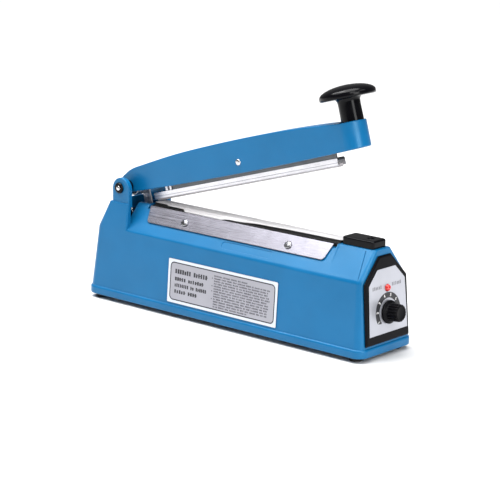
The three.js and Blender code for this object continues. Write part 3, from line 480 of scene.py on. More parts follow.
def lathe(name, profile, place, segments=48):
    """A profile of (radius, height) turned about local Z. It starts and ends on the axis, or
    closes on itself."""
    angles = [2 * pi * i / segments for i in range(segments)]
    points = [(radius * cos(t), radius * sin(t), height) for radius, height in profile for t in angles]
    obj = mesh_object(name, points, walls(len(profile), segments), place)
    with opened(obj.data) as work:
        bmesh.ops.dissolve_degenerate(work, dist=1e-7, edges=work.edges)
        bmesh.ops.recalc_face_normals(work, faces=work.faces)
    return obj


def bar_outline(x0, x1, y0, y1):
    return [(x0, y0), (x1, y0), (x1, y1), (x0, y1)]


def box(x0, x1, y0, y1, z0, z1, place=BASE):
    return extrude("cutter", bar_outline(x0, x1, y0, y1), "z", z0, z1, place)


def rod(radius, low, high, place):
    return lathe("cutter", [(0, low), (radius, low), (radius, high), (0, high)], place, 32)


def oval(centre_a, centre_b, reach_a, reach_b, start, stop, steps):
    """Points on an elliptical arc, with its angles in degrees."""
    angles = [radians(start + (stop - start) * i / steps) for i in range(steps + 1)]
    return [(centre_a + reach_a * cos(t), centre_b + reach_b * sin(t)) for t in angles]


def arc(centre_a, centre_b, radius, start, stop, steps):
    return oval(centre_a, centre_b, radius, radius, start, stop, steps)


def both_flanks(right):
    """A symmetrical outline from its right half."""
    return right + [(-a, b) for a, b in reversed(right)]


def both_ends(half):
    """A pin's profile from the half above its middle."""
    return [(a, -b) for a, b in reversed(half)] + half


def rounded_outline(x0, x1, y0, y1, radius):
    left, right, low, high = x0 + radius, x1 - radius, y0 + radius, y1 - radius
    corners = ((right, high, 0), (left, high, 90), (left, low, 180), (right, low, 270))
    return [point for x, y, turn in corners for point in arc(x, y, radius, turn, turn + 90, 8)]


def rounded_ring(x0, x1, half, radius, z):
    return [(x, y, z) for x, y in rounded_outline(x0, x1, -half, half, radius)]


def settle(obj):
    """Applies the modifiers to the mesh."""
    graph = bpy.context.evaluated_depsgraph_get()
    mesh = bpy.data.meshes.new_from_object(obj.evaluated_get(graph))
    obj.modifiers.clear()
    obj.data = mesh
    return obj


def combine(obj, tool, operation):
    change = obj.modifiers.new("boolean", "BOOLEAN")
    change.object = tool
    change.operation = operation
    change.solver = "EXACT"
    settle(obj)
    bpy.data.objects.remove(tool)
    return obj


def join(obj, *tools):
    for tool in tools:
        combine(obj, tool, "UNION")
    return obj


def cut(obj, *tools):
    for tool in tools:
        combine(obj, tool, "DIFFERENCE")
    return obj


def dissolve(obj, angle=0.6):
    change = obj.modifiers.new("flat_faces", "DECIMATE")
    change.decimate_type = "DISSOLVE"
    change.angle_limit = radians(angle)


def bevel(obj, width, segments, angle, clamp=False):
    change = obj.modifiers.new("bevel", "BEVEL")
    change.width = width * MM
    change.segments = segments
    change.limit_method = "ANGLE"
    change.angle_limit = radians(angle)
    change.use_clamp_overlap = clamp
    change.miter_outer = "MITER_ARC"


def ease(obj, width, segments=3, angle=28, clamp=False):
    """Bevels the sharp edges into the mesh itself."""
    bevel(obj, width, segments, angle, clamp)
    settle(obj)


def round_edges(obj, width, share):
    """Bevels the sharp outer edges, each as wide as share(point) says for its middle."""
    back, sharp_angle = BASE.inverted(), 28
    with opened(obj.data) as work:
        weights = work.edges.layers.float.new("bevel_weight_edge")
        for edge in work.edges:
            sharp = len(edge.link_faces) == 2 and edge.calc_face_angle() > radians(sharp_angle)
            if sharp and edge.is_convex:
                edge[weights] = share(back @ ((edge.verts[0].co + edge.verts[1].co) / 2))
    bevel(obj, width, 3, sharp_angle)
    obj.modifiers["bevel"].limit_method = "WEIGHT"
    settle(obj)


def weld(obj):
    """Merges points that are nearly in one place and drops the faces that this flattens."""
    reach = 0.005 * MM
    with opened(obj.data) as work:
        bmesh.ops.remove_doubles(work, verts=work.verts, dist=reach)
        bmesh.ops.dissolve_degenerate(work, dist=reach, edges=work.edges)


def shade_smooth(obj):
    for polygon in obj.data.polygons:
        polygon.use_smooth = True


def soften(obj, angle=40):
    """Smooth shading that keeps flat faces flat and sharp edges sharp."""
    shade_smooth(obj)
    obj.data.set_sharp_from_angle(angle=radians(angle))
    change = obj.modifiers.new("face_weights", "WEIGHTED_NORMAL")
    change.keep_sharp = True
    return settle(obj)


def paint(obj, mat):
    obj.data.materials.clear()
    obj.data.materials.append(mat)


def dress(obj, mat, body, slot, *nodes):
    """Gives a piece its material, its body and the CAD nodes it stands for; its slot is not used. A piece
    that bends between two bodies rides neither."""
    paint(obj, mat)
    if body:
        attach(obj, body)
    if nodes:
        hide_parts(*nodes)
    return obj


def keep(node, mat, width):
    """Shows a CAD node itself, with softened edges and a new material."""
    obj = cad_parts[node]
    paint(obj, mat)
    obj.modifiers.new("merge", "WELD").merge_threshold = 1e-6
    dissolve(obj)
    bevel(obj, width, 2, 30)
    obj.modifiers["bevel"].harden_normals = True
    shade_smooth(obj)
    obj.modifiers.new("face_weights", "WEIGHTED_NORMAL").weight = 90


def spline(points, steps):
    """A smooth curve through the points, with the end points doubled."""
    path = []
    knots = [Vector(point) for point in (points[0], *points, points[-1])]
    for p0, p1, p2, p3 in zip(knots, knots[1:], knots[2:], knots[3:]):
        for k in range(steps):
            t = k / steps
            path.append(tuple(0.5 * (2 * p1 + (p2 - p0) * t + (2 * p0 - 5 * p1 + 4 * p2 - p3) * t ** 2
                                     + (3 * p1 - p0 - 3 * p2 + p3) * t ** 3)))
    return path + [points[-1]]


# ---------------- base housing

def block(name, *rings):
    """A loft in the base's frame; a ring is its rear, front, half width, corner radius and height."""
    return loft(name, [rounded_ring(*ring) for ring in rings], BASE)


def base_housing():
    lap, step, over, bed_half = 10, 1, 5, 9.7
    low, high, end, half, corner = SKIRT.bottom, SKIRT.top, SKIRT.end, SKIRT.half, SKIRT.corner
    crease_half, crease_corner, level = CREASE.half, CREASE.corner, CREASE.z
    block_rear, cheek_front = FRONT_BLOCK.rear, CHEEK.front
    housing = block("base_housing_shell", (-end, end, half, corner, low),
                    (-end, end, half, corner, high - 1.2),
                    (-end + step, end - step, half - step, corner - step, high))
    body = block("body", (-BODY.end, BODY.end, BODY.half, BODY.corner, high - 1),
                 (CREASE.rear, CREASE.front, crease_half, crease_corner, level))
    ridge = block("ridge", (RIDGE.rear, block_rear + lap, crease_half, 0.8, level),
                  (RIDGE.rear, block_rear + lap, RIDGE.half, 0.8, RIDGE.z))
    front_block = block("front_block", (block_rear, CREASE.front, crease_half, crease_corner, level),
                        (block_rear, RIDGE.front, FRONT_BLOCK.half, 3, FRONT_BLOCK.z))
    rear_block = block("rear_block", (CREASE.rear, cheek_front + lap, crease_half, crease_corner, level),
                       (CHEEK.rear, cheek_front + lap, CHEEK.half, 2, CHEEK.top))
    well = block("well", (CHEEK.well_low, cheek_front + lap + 1, CHEEK.inner + 0.8, 1, level),
                 (CHEEK.well_top, cheek_front + lap + 1, CHEEK.inner, 1, CHEEK.top + 1))
    cut(rear_block, well, box(cheek_front, cheek_front + 2 * lap, -40, 40, level - 1, CHEEK.top + 1))
    join(housing, body, ridge, front_block, rear_block, *ears())
    cut(housing,
        box(BED.rear - 3, block_rear - 0.3, -20, 20, BED.seat, RIDGE.z + over),
        box(0, BED.front + 1.5, -bed_half, bed_half, BED.seat, RIDGE.z + over),
        *slope_recesses())
    dissolve(housing)
    settle(housing)
    round_edges(housing, 2.0, housing_edge_share)
    cut(housing, *housing_hollows(), *end_grooves())
    return dress(soften(housing), blue_plastic, "base", "blue_plastic", "base_housing")


def ears():
    bottom = CHEEK.top - 4
    outline = arc(EAR.x, EAR.z, EAR.radius, 0, 180, 24)
    outline += [(EAR.x - EAR.radius, bottom), (EAR.x + EAR.radius, bottom)]
    return [extrude("ear", outline, "y", low, high, BASE)
            for low, high in ((EAR.inner, EAR.outer), (-EAR.outer, -EAR.inner))]


def housing_hollows():
    """The inside of the shell and every hole through it."""
    end, half = BODY.end - WALL, BODY.half - WALL
    rear, front = CREASE.rear + WALL, CREASE.front - WALL
    level, seat, crease_half = CREASE.z, BED.seat, CREASE.half - WALL
    bulkhead, shaft_hole, grommet_hole, grommet_up = -104.7, 4.2, 5, 16
    lower = block("cutter", (-end, end, half, 6, SKIRT.bottom - 2), (-end, end, half, 6, SKIRT.top),
                  (rear, front, crease_half, 4, level - WALL))
    upper = block("cutter", (bulkhead, front, crease_half - 1.5, 2, level - WALL - 1),
                  (bulkhead, RIDGE.front - WALL, RIDGE.half + 1.4, 2, seat - WALL))
    return [lower, upper,
            box(RIDGE.rear - 2, -107.5, -6.5, 6.5, level, RIDGE.z + 5),
            box(-104.6, BED.rear - 0.3, -2.4, 2.4, seat - 8, seat + 2),
            rod(PIN_RADIUS + 0.3, -72, 72, HINGE_FRAME @ ALONG_Y),
            rod(shaft_hole, -8, 4, shift(END_WALL, z=DIAL.up) @ ALONG_X),
            rod(LAMP.radius + 0.3, -8, 4, shift(END_WALL, z=LAMP.up) @ ALONG_X),
            rod(grommet_hole, -4, 8, shift(REAR_WALL, z=grommet_up) @ ALONG_X)]


def turned(outline, sign):
    """A slope's outline, or the same turned about for the other slope, whose x runs backward."""
    return [(sign * x, y) for x, y in outline]


def slope_recesses():
    outline = rounded_outline(RECESS.x0, RECESS.x1, RECESS.low, RECESS.top, RECESS.corner)
    return [extrude("cutter", turned(outline, sign), "z", -RECESS.depth, 1, SLOPES[side])
            for side, sign in SIDES]


def end_grooves():
    """A fine groove down each slope of the front block, a little way in from the end face."""
    foot, head, half = END_GROOVE.foot, END_GROOVE.head, END_GROOVE.width / 2
    low, high = END_GROOVE.low, END_GROOVE.high
    outline = [(foot - half, low), (foot + half, low), (head + half, high), (head - half, high)]
    return [extrude("cutter", turned(outline, sign), "z", -END_GROOVE.depth, 1.5, BLOCK_SLOPES[side])
            for side, sign in SIDES]


def housing_edge_share(point):
    """How round an edge of the housing is there, as a share of its roundest edges."""
    x, y, z = point
    if z < SKIRT.top + 1.5:
        return 0.45
    if z > CHEEK.top + 1:
        return 0.4
    if x < CHEEK.front + 2 and z > CREASE.z + 2:
        outside = abs(y) > CHEEK.half - 1 or x < CHEEK.rear + 1
        if z > CHEEK.top - 1:
            return 0.45 if outside else 0.05
        return 0.5 if outside else 0.2
    if abs(y) < 14 and z > BED.seat - 2:
        return 0.12
    if abs(x - FRONT_BLOCK.rear) < 3 and z > CREASE.z - 1:
        return 0.15
    on_recess = RECESS.x0 - 1 < x < RECESS.x1 + 1 and CREASE.z + 1.5 < z < CREASE.z + 10
    return 0.15 if on_recess else 1.0


# ---------------- arm

def arm_outline(shrink):
    rear = ARM.rear - shrink
    bottom = ARM.bottom - (4 if shrink else 0)
    front = ARM.nose - 15 if shrink else ARM.nose + ARM.half + 5
    finish = 112
    start = 180 + degrees(asin(-bottom / rear))
    crown = [(238 if shrink else 250, 17.1), (213, 19.6), (168, 21.1), (114, 21), (65, 19.6),
             (22, 16.3), (6, 14.5)]
    back = arc(0, 0, rear, finish, start, 20)
    crown = [(x, z - shrink) for x, z in crown] + back[:1]
    points = [(front, bottom), (front, ARM.rim - shrink)]
    if not shrink:
        points.append((252.4, ARM.rim))
    points += spline(crown, 8) + back[1:]
    if not shrink:
        for i in range(1, 12):
            points.append((front * i / 12, bottom - ARM.belly * sin(pi * i / 12) ** 0.7))
    return points


def arm_plan(half, rear):
    return [(rear, -half)] + arc(ARM.nose, 0, half, -90, 90, 32) + [(rear, half)]


def arm_shell():
    half, inner = ARM.half, ARM.half - ARM.wall
    shell = extrude("arm_shell_moulding", arm_outline(0), "y", -half, half, ARM_FRAME)
    combine(shell, extrude("cutter", arm_plan(half, -30), "z", -20, 40, ARM_FRAME), "INTERSECT")
    dissolve(shell, 0.3)
    ease(shell, 1.6, 4, 40, clamp=True)
    lip = 0.7
    radius, floor, above = CUP.radius, CUP.floor, 30
    well = lathe("cutter", [(0, floor), (radius, floor), (radius, ARM.rim - lip),
                            (radius + lip * 0.4, ARM.rim - 0.2), (radius + lip, above), (0, above)],
                 shift(ARM_FRAME, CUP.x), 64)
    cut(shell,
        extrude("cutter", arm_outline(1.9), "y", -inner, inner, ARM_FRAME),
        extrude("cutter", arm_plan(inner, ARM.nose - 18), "z", ARM.bottom - 4, CUP.under, ARM_FRAME),
        box(-ARM.rear - 2, -5, -inner + 0.1, inner - 0.1, ARM.bottom - 2, 0.5, ARM_FRAME),
        well,
        rod(PIN_RADIUS + 0.3, -30, 30, ARM_FRAME @ ALONG_Y),
        rod(BAR_PIVOT.radius + 0.3, -30, 30, PIVOT_FRAME @ ALONG_Y),
        rod(2.3, 0, 12, shift(ARM_FRAME, KNOB.x)))
    weld(shell)
    return dress(soften(shell), blue_plastic, "arm", "blue_plastic", "arm_shell")


def press_knob():
    """Mushroom knob: a turned stem that flares under a flat cap with a rolled rim."""
    stem, cap, bottom = KNOB.stem, KNOB.cap, KNOB.bottom
    foot = CUP.floor + 0.3
    profile = [(0, foot), (stem - 0.4, foot), (stem, foot + 0.4), (stem, foot + 10),
               (stem - 0.15, bottom - 7)]
    flare, roll, rim = 3.6, 1.6, bottom + KNOB.rim
    profile += arc(stem + flare, bottom - flare, flare, 180, 90, 6)
    profile += [(cap - 6, bottom - 0.3), (cap - 2, bottom - 0.5)]
    profile += arc(cap - roll, bottom + 1.1, roll, -75, 0, 5)
    profile += oval(0, rim, cap, KNOB.top - rim, 0, 90, 18)
    knob = lathe("press_knob_turned", profile, shift(ARM_FRAME, KNOB.x), 96)
    return dress(soften(knob, 50), black_gloss, "arm", "black_plastic", "press_knob")


# ---------------- pressure bar

def bar_channel():
    """A folded trough that hangs on two lugs. One of its walls is cut back at the front."""
    rear, front, half, sheet = CHANNEL.rear, CHANNEL.front, CHANNEL.half, CHANNEL.sheet
    high, low, fold, crook = CHANNEL.top, CHANNEL.bottom, 0.9, 0.3
    inside = half - sheet
    floor = low + sheet
    section = both_flanks([(inside - crook, floor), (inside, floor + crook), (inside, high), (half, high)]
                          + arc(half - fold, low + fold, fold, 0, -90, 5))
    channel = extrude("bar_channel_folding", section, "x", rear, front, ARM_FRAME)
    lug, spread, foot = 5, 8, high - 1 - BAR_PIVOT.z
    for side in (-half, inside):
        outline = arc(0, 0, lug, 0, 180, 16) + [(-spread, foot), (spread, foot)]
        join(channel, extrude("lug", outline, "y", side, side + sheet, PIVOT_FRAME))
    cut(channel,
        rod(BAR_PIVOT.radius + 0.3, -20, 20, PIVOT_FRAME @ ALONG_Y),
        *(rod(CHANNEL.hole, -30, 0, shift(ARM_FRAME, x)) for x in CHANNEL.rivets),
        box(front - CHANNEL.cutback, front + 3, 0.5, half + 1, floor + 0.8, high + 1, ARM_FRAME))
    ease(channel, 0.12, 2, 50)
    return dress(soften(channel), dark_steel, "pressure_bar", "dark_steel", "bar_channel")


def bar_profile():
    """Aluminium extrusion: two flanks with a bead line each and a slot for the silicone."""
    half, top, bottom = BAR.half, BAR.top, BAR.bottom
    slot, channel_side = STRIP.half + 0.3, CHANNEL.half + 0.1
    bead, lip, groove, edge = (top + bottom) / 2 + 0.4, top + 1.7, 0.12, 0.5
    flank = [(channel_side, top), (channel_side, lip), (half - 0.15, lip), (half, lip - 0.2),
             (half, bead + 0.3), (half - groove, bead + 0.1), (half - groove, bead - 0.1),
             (half, bead - 0.3), (half, bottom + edge), (half - edge, bottom)]
    slot_side = [(slot - edge, bottom), (slot - edge, bottom + edge), (slot, bottom + edge),
                 (slot, STRIP.top + 0.3)]
    section = both_flanks(flank + slot_side)
    bar = extrude("bar_profile_extrusion", section, "x", BAR.rear, BAR.front, ARM_FRAME)
    ease(bar, 0.15, 2)
    return dress(soften(bar), bar_metal, "pressure_bar", "aluminium", "bar_profile")


def silicone_strip():
    half, top, bottom = STRIP.half, STRIP.top, STRIP.bottom
    waist = half - 0.7
    groove = BAR.bottom
    right = [(half, top), (half, groove + 0.65), (waist, groove + 0.5), (waist, groove - 0.1),
             (waist - 0.3, bottom + 0.3), (waist - 0.9, bottom), (waist - 1.6, bottom + 0.06)]
    strip = extrude("silicone_strip_moulding", both_flanks(right), "x", BAR.rear + 1, BAR.front - 1,
                    ARM_FRAME)
    ease(strip, 0.12, 2, 50)
    return dress(soften(strip), silicone, "pressure_bar", "silicone", "silicone_strip")


# ---------------- cloth on the bed

CLOTH = Sizes(rear=-100, front=115.9, top=92.3, thickness=0.16)


def cloth_reach(x, side):
    """How far the cloth comes down from the bed's middle, measured along it."""
    if side < 0:
        knots = [(-100, 6.5), (-85.5, 6.6), (-84.5, 7.7), (-66, 7.9), (-60, 11.8), (-20, 12.4), (-8, 9.4),
                 (30, 7.2), (60, 6.6), (112, 6.4), (113.5, 5.4), (115.9, 4.9)]
    else:
        knots = [(-100, 11.8), (-60, 12.6), (-10, 11.2), (40, 12.8), (111, 12.2), (113.5, 5.6),
                 (115.9, 5.0)]
    for (x0, reach0), (x1, reach1) in zip(knots, knots[1:]):
        if x <= x1:
            t = (x - x0) / (x1 - x0)
            t = t * t * (3 - 2 * t)
            return reach0 + (reach1 - reach0) * t
    return knots[-1][1]


def cloth_point(x, side, reach):
    """A point at a distance along the cloth from its middle line: over the bed's top, down its
    side, out over the step and down again."""
    fold = [(0, CLOTH.top), (6.3, CLOTH.top), (6.75, CLOTH.top - 0.45), (6.85, 90.75), (7.15, 90.45),
            (9.4, 90.4), (9.75, 90.05), (9.8, 86.6)]
    left = reach
    for (y0, z0), (y1, z1) in zip(fold, fold[1:]):
        length = hypot(y1 - y0, z1 - z0)
        if left <= length:
            t = left / length
            ripple = 0.05 * sin(x / 7.3) + 0.04 * sin(x / 3.1 + side)
            depth = min(1, max(0, (reach - 6) / 3))
            y = y0 + (y1 - y0) * t + 0.05 * depth * (1 + sin(x / 5.2 + 2 * side))
            return (x, side * y, z0 + (z1 - z0) * t + ripple * 0.5 * depth)
        left -= length
    return (x, side * fold[-1][0], fold[-1][1])


def ptfe_cloth():
    stations, across = 220, 13
    points = []
    for i in range(stations + 1):
        x = CLOTH.rear + (CLOTH.front - CLOTH.rear) * i / stations
        for k in range(-across, across + 1):
            side = -1 if k < 0 else 1
            points.append(cloth_point(x, side, cloth_reach(x, side) * abs(k) / across))
    width = 2 * across + 1
    faces = [(i * width + k, (i + 1) * width + k, (i + 1) * width + k + 1, i * width + k + 1)
             for i in range(stations) for k in range(width - 1)]
    mesh = bpy.data.meshes.new("ptfe_cloth_sheet")
    mesh.from_pydata([BASE @ Vector(p) for p in points], [], faces)
    mesh.update()
    cloth = link("ptfe_cloth_sheet", mesh)
    solid = cloth.modifiers.new("thickness", "SOLIDIFY")
    solid.thickness = CLOTH.thickness * MM
    solid.offset = 1
    shade_smooth(cloth)
    settle(cloth)
    dress(cloth, cloth_coat, "base", "ptfe_cloth", "ptfe_cloth")
    return cloth


# ---------------- screws, pins and lathe work

def screw_head(name, place, radius, height, mat, node, shank=8):
    """A pan-head screw with a cross recess, its head's underside at local z = 0."""
    shank_radius, side = radius * 0.48, height * 0.35
    profile = [(0, -shank), (shank_radius, -shank), (shank_radius, 0), (radius - 0.15, 0), (radius, 0.15)]
    head = lathe(name, profile + oval(0, side, radius, height - side, 0, 90, 8), place, 40)
    slot_length, slot_half, taper = radius * 0.52, radius * 0.11, 0.55
    for x, y in ((slot_length, slot_half), (slot_half, slot_length)):
        cut(head, loft("cutter", [[(a, b, side) for a, b in bar_outline(-x * taper, x * taper, -y, y)],
                                  [(a, b, height + 0.5) for a, b in bar_outline(-x, x, -y, y)]], place))
    dress(soften(head, 35), mat, "base", "steel", node)


PLATE = Sizes(gap=0.3, sheet=1.2, top_rear=-101, top_front=110, low_rear=-95, low_front=107.5, low=12.7,
              top=29.6, corner=3.4, hole=2.1)


def cover_plates():
    """The two sheet plates on the slopes, with rounded lower corners and soft edges."""
    corner, gap = PLATE.corner, PLATE.gap
    outline = [(PLATE.top_front, PLATE.top), (PLATE.top_rear, PLATE.top)]
    outline += arc(PLATE.low_rear - 1 + corner, PLATE.low + corner, corner, 197, 270, 8)
    outline += arc(PLATE.low_front + 0.4 - corner, PLATE.low + corner, corner, 270, 350, 8)
    for side, sign in SIDES:
        plate = extrude(f"cover_plate_{side}_sheet", turned(outline, sign), "z", gap, gap + PLATE.sheet,
                        SLOPES[side])
        dissolve(plate)
        ease(plate, 0.35)
        for x in (PLATE_SCREWS["rear"], PLATE_SCREWS["front"]):
            cut(plate, rod(PLATE.hole, -2, 4, shift(SLOPES[side], sign * x, PLATE_SCREWS["up"])))
        dress(soften(plate), plate_metal, "base", "aluminium", f"cover_plate_{side}")


def plate_screws():
    height = PLATE.gap + PLATE.sheet + 0.05
    for side, sign in SIDES:
        for end, turn in (("rear", 35), ("front", 12)):
            place = shift(SLOPES[side], sign * PLATE_SCREWS[end], PLATE_SCREWS["up"], height)
            place = place @ Matrix.Rotation(radians(turn), 4, "Z")
            node = f"cover_screw_{side}_{end}"
            screw_head(node + "_head", place, 3.6, 2.1, screw_steel, node)


def hinge_parts():
    crown, reach, bore = 0.9, 29.6, 2.6
    half = oval(0, reach - crown, PIN_RADIUS, crown, 0, 90, 6)
    pin = lathe("hinge_pin_turned", both_ends(half), HINGE_FRAME @ ALONG_Y)
    dress(soften(pin, 50), bright_steel, "base", "steel", "hinge_pin")
    cap = [(bore, 27), (4.9, 27), (5.0, 27.2), (4.95, 27.7), (4.5, 28.5), (3.7, 29.1), (3.1, 29.2),
           (bore, 28.9), (bore, 27)]
    bush = [(bore, 14.3), (5, 14.3), (5.2, 14.5), (5.2, 17.4), (4.8, 17.8), (4.8, 18.4), (5.2, 18.8),
            (5.2, 21.4), (5, 21.6), (bore, 21.6), (bore, 14.3)]
    for side, sign in SIDES:
        place = HINGE_FRAME @ Matrix.Rotation(sign * pi / 2, 4, "X")
        for part, profile, mat in (("cap", cap, black_gloss), ("bush", bush, black_satin)):
            node = f"hinge_{part}_{side}"
            ring = lathe(node + "_moulding", profile, place)
            dress(soften(ring, 50), mat, "base", "black_plastic", node)


def bar_pin():
    under = 14.05
    half = [(BAR_PIVOT.radius, under), (2.6, under), (2.75, 14.2), (2.6, 14.5), (2.0, 14.8), (1.1, 14.95),
            (0, 15)]
    pin = lathe("bar_pivot_pin_turned", both_ends(half), PIVOT_FRAME @ ALONG_Y)
    dress(soften(pin, 50), bright_steel, "arm", "steel", "bar_pivot_pin")


def feet():
    r, bore, pocket = FOOT_RADIUS, 2.3, 4.2
    profile = [(bore, 2.4), (pocket, 2.4), (pocket, 0.15), (pocket + 0.15, 0), (r - 0.6, 0),
               (r - 0.2, 0.15), (r, 0.6), (r, 1.5), (r - 0.25, 1.7), (r - 0.25, 1.95), (r, 2.15),
               (r - 0.05, 3), (r - 0.35, 4.4), (bore, 4.5), (bore, 2.4)]
    for end, side in CORNERS:
        node = f"foot_{end}_{side}"
        low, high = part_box(node)
        x, y = ((low[axis] + high[axis]) / 2 for axis in (0, 1))
        foot = lathe(node + "_moulding", profile, Matrix.Translation((x, y, 0)) @ Matrix.Scale(MM, 4))
        dress(soften(foot, 45), black_rubber, "base", "black_rubber", node)


def return_spring():
    """Torsion spring: the leg at its first turn stands in the well and the other pushes up the
    arm, so its turns wind up between the two bodies."""
    radius, first, pitch, turns, gauge = 8.4, -10.4, 2.2, 4, 0.98
    foot_angle = radians(200)
    leg_angle = pi / 2 + OPEN_ANGLE + radians(10)
    sweep = foot_angle - leg_angle + turns * 2 * pi

    def on_coil(angle, y):
        return Vector((HINGE[0] + radius * cos(angle), y, HINGE[1] + radius * sin(angle)))

    def along(angle):
        return Vector((sin(angle), 0, -cos(angle)))

    start = on_coil(foot_angle, first)
    path = [start - along(foot_angle) * length for length in (34.5, 30, 24, 18, 12, 8, 4, 2)]
    steps = 150
    shares = [i / steps for i in range(steps + 1)]
    path += [on_coil(foot_angle - sweep * t, first + pitch * turns * t) for t in shares]
    path += [path[-1] + along(leg_angle) * length for length in (2, 4, 8, 12, 17, 22)]
    rings = []
    for i, centre in enumerate(path):
        ahead = (path[min(i + 1, len(path) - 1)] - path[max(i - 1, 0)]).normalized()
        side = Vector((0, 1, 0)) - ahead * ahead.y
        side.normalize()
        other = ahead.cross(side)
        rings.append([centre + side * a + other * b for a, b in arc(0, 0, gauge, 0, 330, 11)])
    spring = loft("return_spring_wire", rings, BASE)
    dress(soften(spring, 50), bright_steel, None, "steel", "return_spring")
    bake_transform(spring)


def terminal_cover():
    rear, front, half, top = COVER.rear, COVER.front, COVER.half, COVER.z
    foot = FRONT_BLOCK.z + 0.3
    edge, wall, hole, sink = 1.7, 1.8, 1.6, 2.7
    rings = [(rear, front, half, COVER.corner, foot)]
    for inset, z in arc(edge, top - edge, edge, 180, 90, 6):
        rings.append((rear + inset, front - inset, half - inset, COVER.corner - inset * 0.5, z))
    cover = block("terminal_cover_moulding", *rings)
    screw = shift(BASE, COVER.screw)
    cut(cover,
        box(rear + wall, COVER.screw - 4.5, wall - half, half - wall, foot - 1, top - 1.6),
        box(rear - 1, rear + 3, -2, 2, foot - 1, 92.5),
        lathe("cutter", [(0, foot - 1), (hole, foot - 1), (hole, top - 2), (sink, top - 2),
                         (sink, top - 0.5), (3.1, top - 0.1), (3.2, top + 1), (0, top + 1)], screw))
    dress(soften(cover, 45), black_gloss, "base", "black_plastic", "terminal_cover")
    screw_head("terminal_cover_screw_head", shift(screw, z=top - 1.95), 2.3, 1.2, zinc_sheet,
               "terminal_cover_screw", 6)


# ---------------- end panel

def indicator_lamp():
    r, face, tail, collar, top = LAMP.radius, LABEL_FACE, -13.6, 3.7, 5.8
    profile = [(0, tail), (r - 0.3, tail), (r - 0.3, face), (r, face + 0.05), (r, face + 0.6),
               (r - 0.25, face + 0.9)] + oval(0, collar, r - 0.35, top - collar, 0, 90, 8)
    lamp = lathe("indicator_lamp_lens", profile, shift(END_WALL, z=LAMP.up) @ ALONG_X)
    dress(soften(lamp, 50), red_lens, "base", "red_lens", "indicator_lamp")


def dial_knob():
    """Fluted dial: a thin skirt, a ribbed grip and a shallow dished top."""
    segments = DIAL.flutes * 8
    base, reach, skirt, body = DIAL.base, DIAL.reach, DIAL.skirt, DIAL.body
    stations = [(0, base, 0), (skirt - 0.3, base, 0), (skirt, base + 0.3, 0), (skirt, base + 1.7, 0),
                (skirt - 0.35, base + 2.1, 0), (skirt - 1.6, base + 2.6, 0), (body + 0.35, base + 2.9, 0),
                (body + 0.1, base + 3.3, 0.5), (body, base + 4.2, 1), (body - 0.15, reach - 1.4, 1),
                (body - 0.4, reach - 0.6, 0.8), (body - 0.9, reach - 0.15, 0.3), (body - 1.5, reach, 0),
                (body - 2.1, reach, 0), (body - 2.5, reach - 0.35, 0), (0, reach - 0.5, 0)]
    rib, rings = 0.28, []
    for radius, height, depth in stations:
        ring = []
        for i in range(segments):
            angle = 2 * pi * i / segments
            out = radius - rib * depth * (1 + cos(angle * DIAL.flutes)) ** 1.6
            ring.append((out * cos(angle), out * sin(angle), height))
        rings.append(ring)
    knob = loft("dial_knob_moulding", rings, shift(END_WALL, z=DIAL.up) @ ALONG_X)
    dress(soften(knob, 40), black_satin, "dial", "black_plastic", "dial_knob")


# How far a print reaches below and above the face that it is on.
PRINT = (-0.02, 0.04)


def flat_print(name, outlines, place, face, mat):
    """Thin printed shapes on a flat face: outlines in (X, Y) joined into one piece."""
    points, faces = [], []
    for outline in outlines:
        faces += capped(2, len(outline), len(points))
        points += [(x, y, face + lift) for lift in PRINT for x, y in outline]
    dress(mesh_object(name, points, faces, place), mat, "base", "black_plastic")


def frame_print(name, outer, inner, place, face, mat):
    """A thin printed band between two outlines that have as many points each."""
    low, high = PRINT
    rings = ((outer, low), (inner, low), (inner, high), (outer, high), (outer, low))
    points = [(x, y, face + lift) for ring, lift in rings for x, y in ring]
    band = mesh_object(name, points, walls(len(rings), len(outer)), place)
    dress(band, mat, "base", "black_plastic")


# The end wall's print is drawn with X across the wall and Y up it, facing out.
WALL_PRINT = END_WALL @ Matrix(((0, 0, 1, 0), (1, 0, 0, 0), (0, 1, 0, 0), (0, 0, 0, 1)))


def dial_scale():
    outer, inner, reach, steps, tip = 16.5, 11.7, 132, 64, 14

    def at(radius, bearing):
        angle = radians(bearing)
        return radius * sin(angle), DIAL.up + radius * cos(angle)

    angles = [-reach + 2 * reach * i / steps for i in range(steps + 1)]
    outline = []
    for angle in angles:
        taper = min(1, 0.25 + 0.75 * (reach - abs(angle)) / tip)
        outline.append(at(inner + (outer - inner) * taper, angle))
    outline += [at(inner, angle) for angle in reversed(angles)]
    flat_print("dial_scale_ring", [outline], WALL_PRINT, LABEL_FACE, dark_ink)
    first, step = -118, 236 / 7
    for number in range(1, 9):
        angle = first + (number - 1) * step
        numeral(f"dial_numeral_{number}", str(number), *at((outer + inner) / 2, angle), -radians(angle))


def numeral(name, text, x, y, turn):
    curve = bpy.data.curves.new(name, "FONT")
    curve.body = text
    curve.size = 3.7
    curve.align_x = curve.align_y = "CENTER"
    curve.extrude = 0.02
    curve.offset = 0.06
    text_object = link(name + "_outline", curve)
    graph = bpy.context.evaluated_depsgraph_get()
    mesh = bpy.data.meshes.new_from_object(text_object.evaluated_get(graph))
    bpy.data.objects.remove(text_object)
    mesh.transform(shift(WALL_PRINT, x, y, LABEL_FACE + 0.06) @ Matrix.Rotation(turn, 4, "Z"))
    dress(link(name, mesh), white_ink, "base", "foil_label")


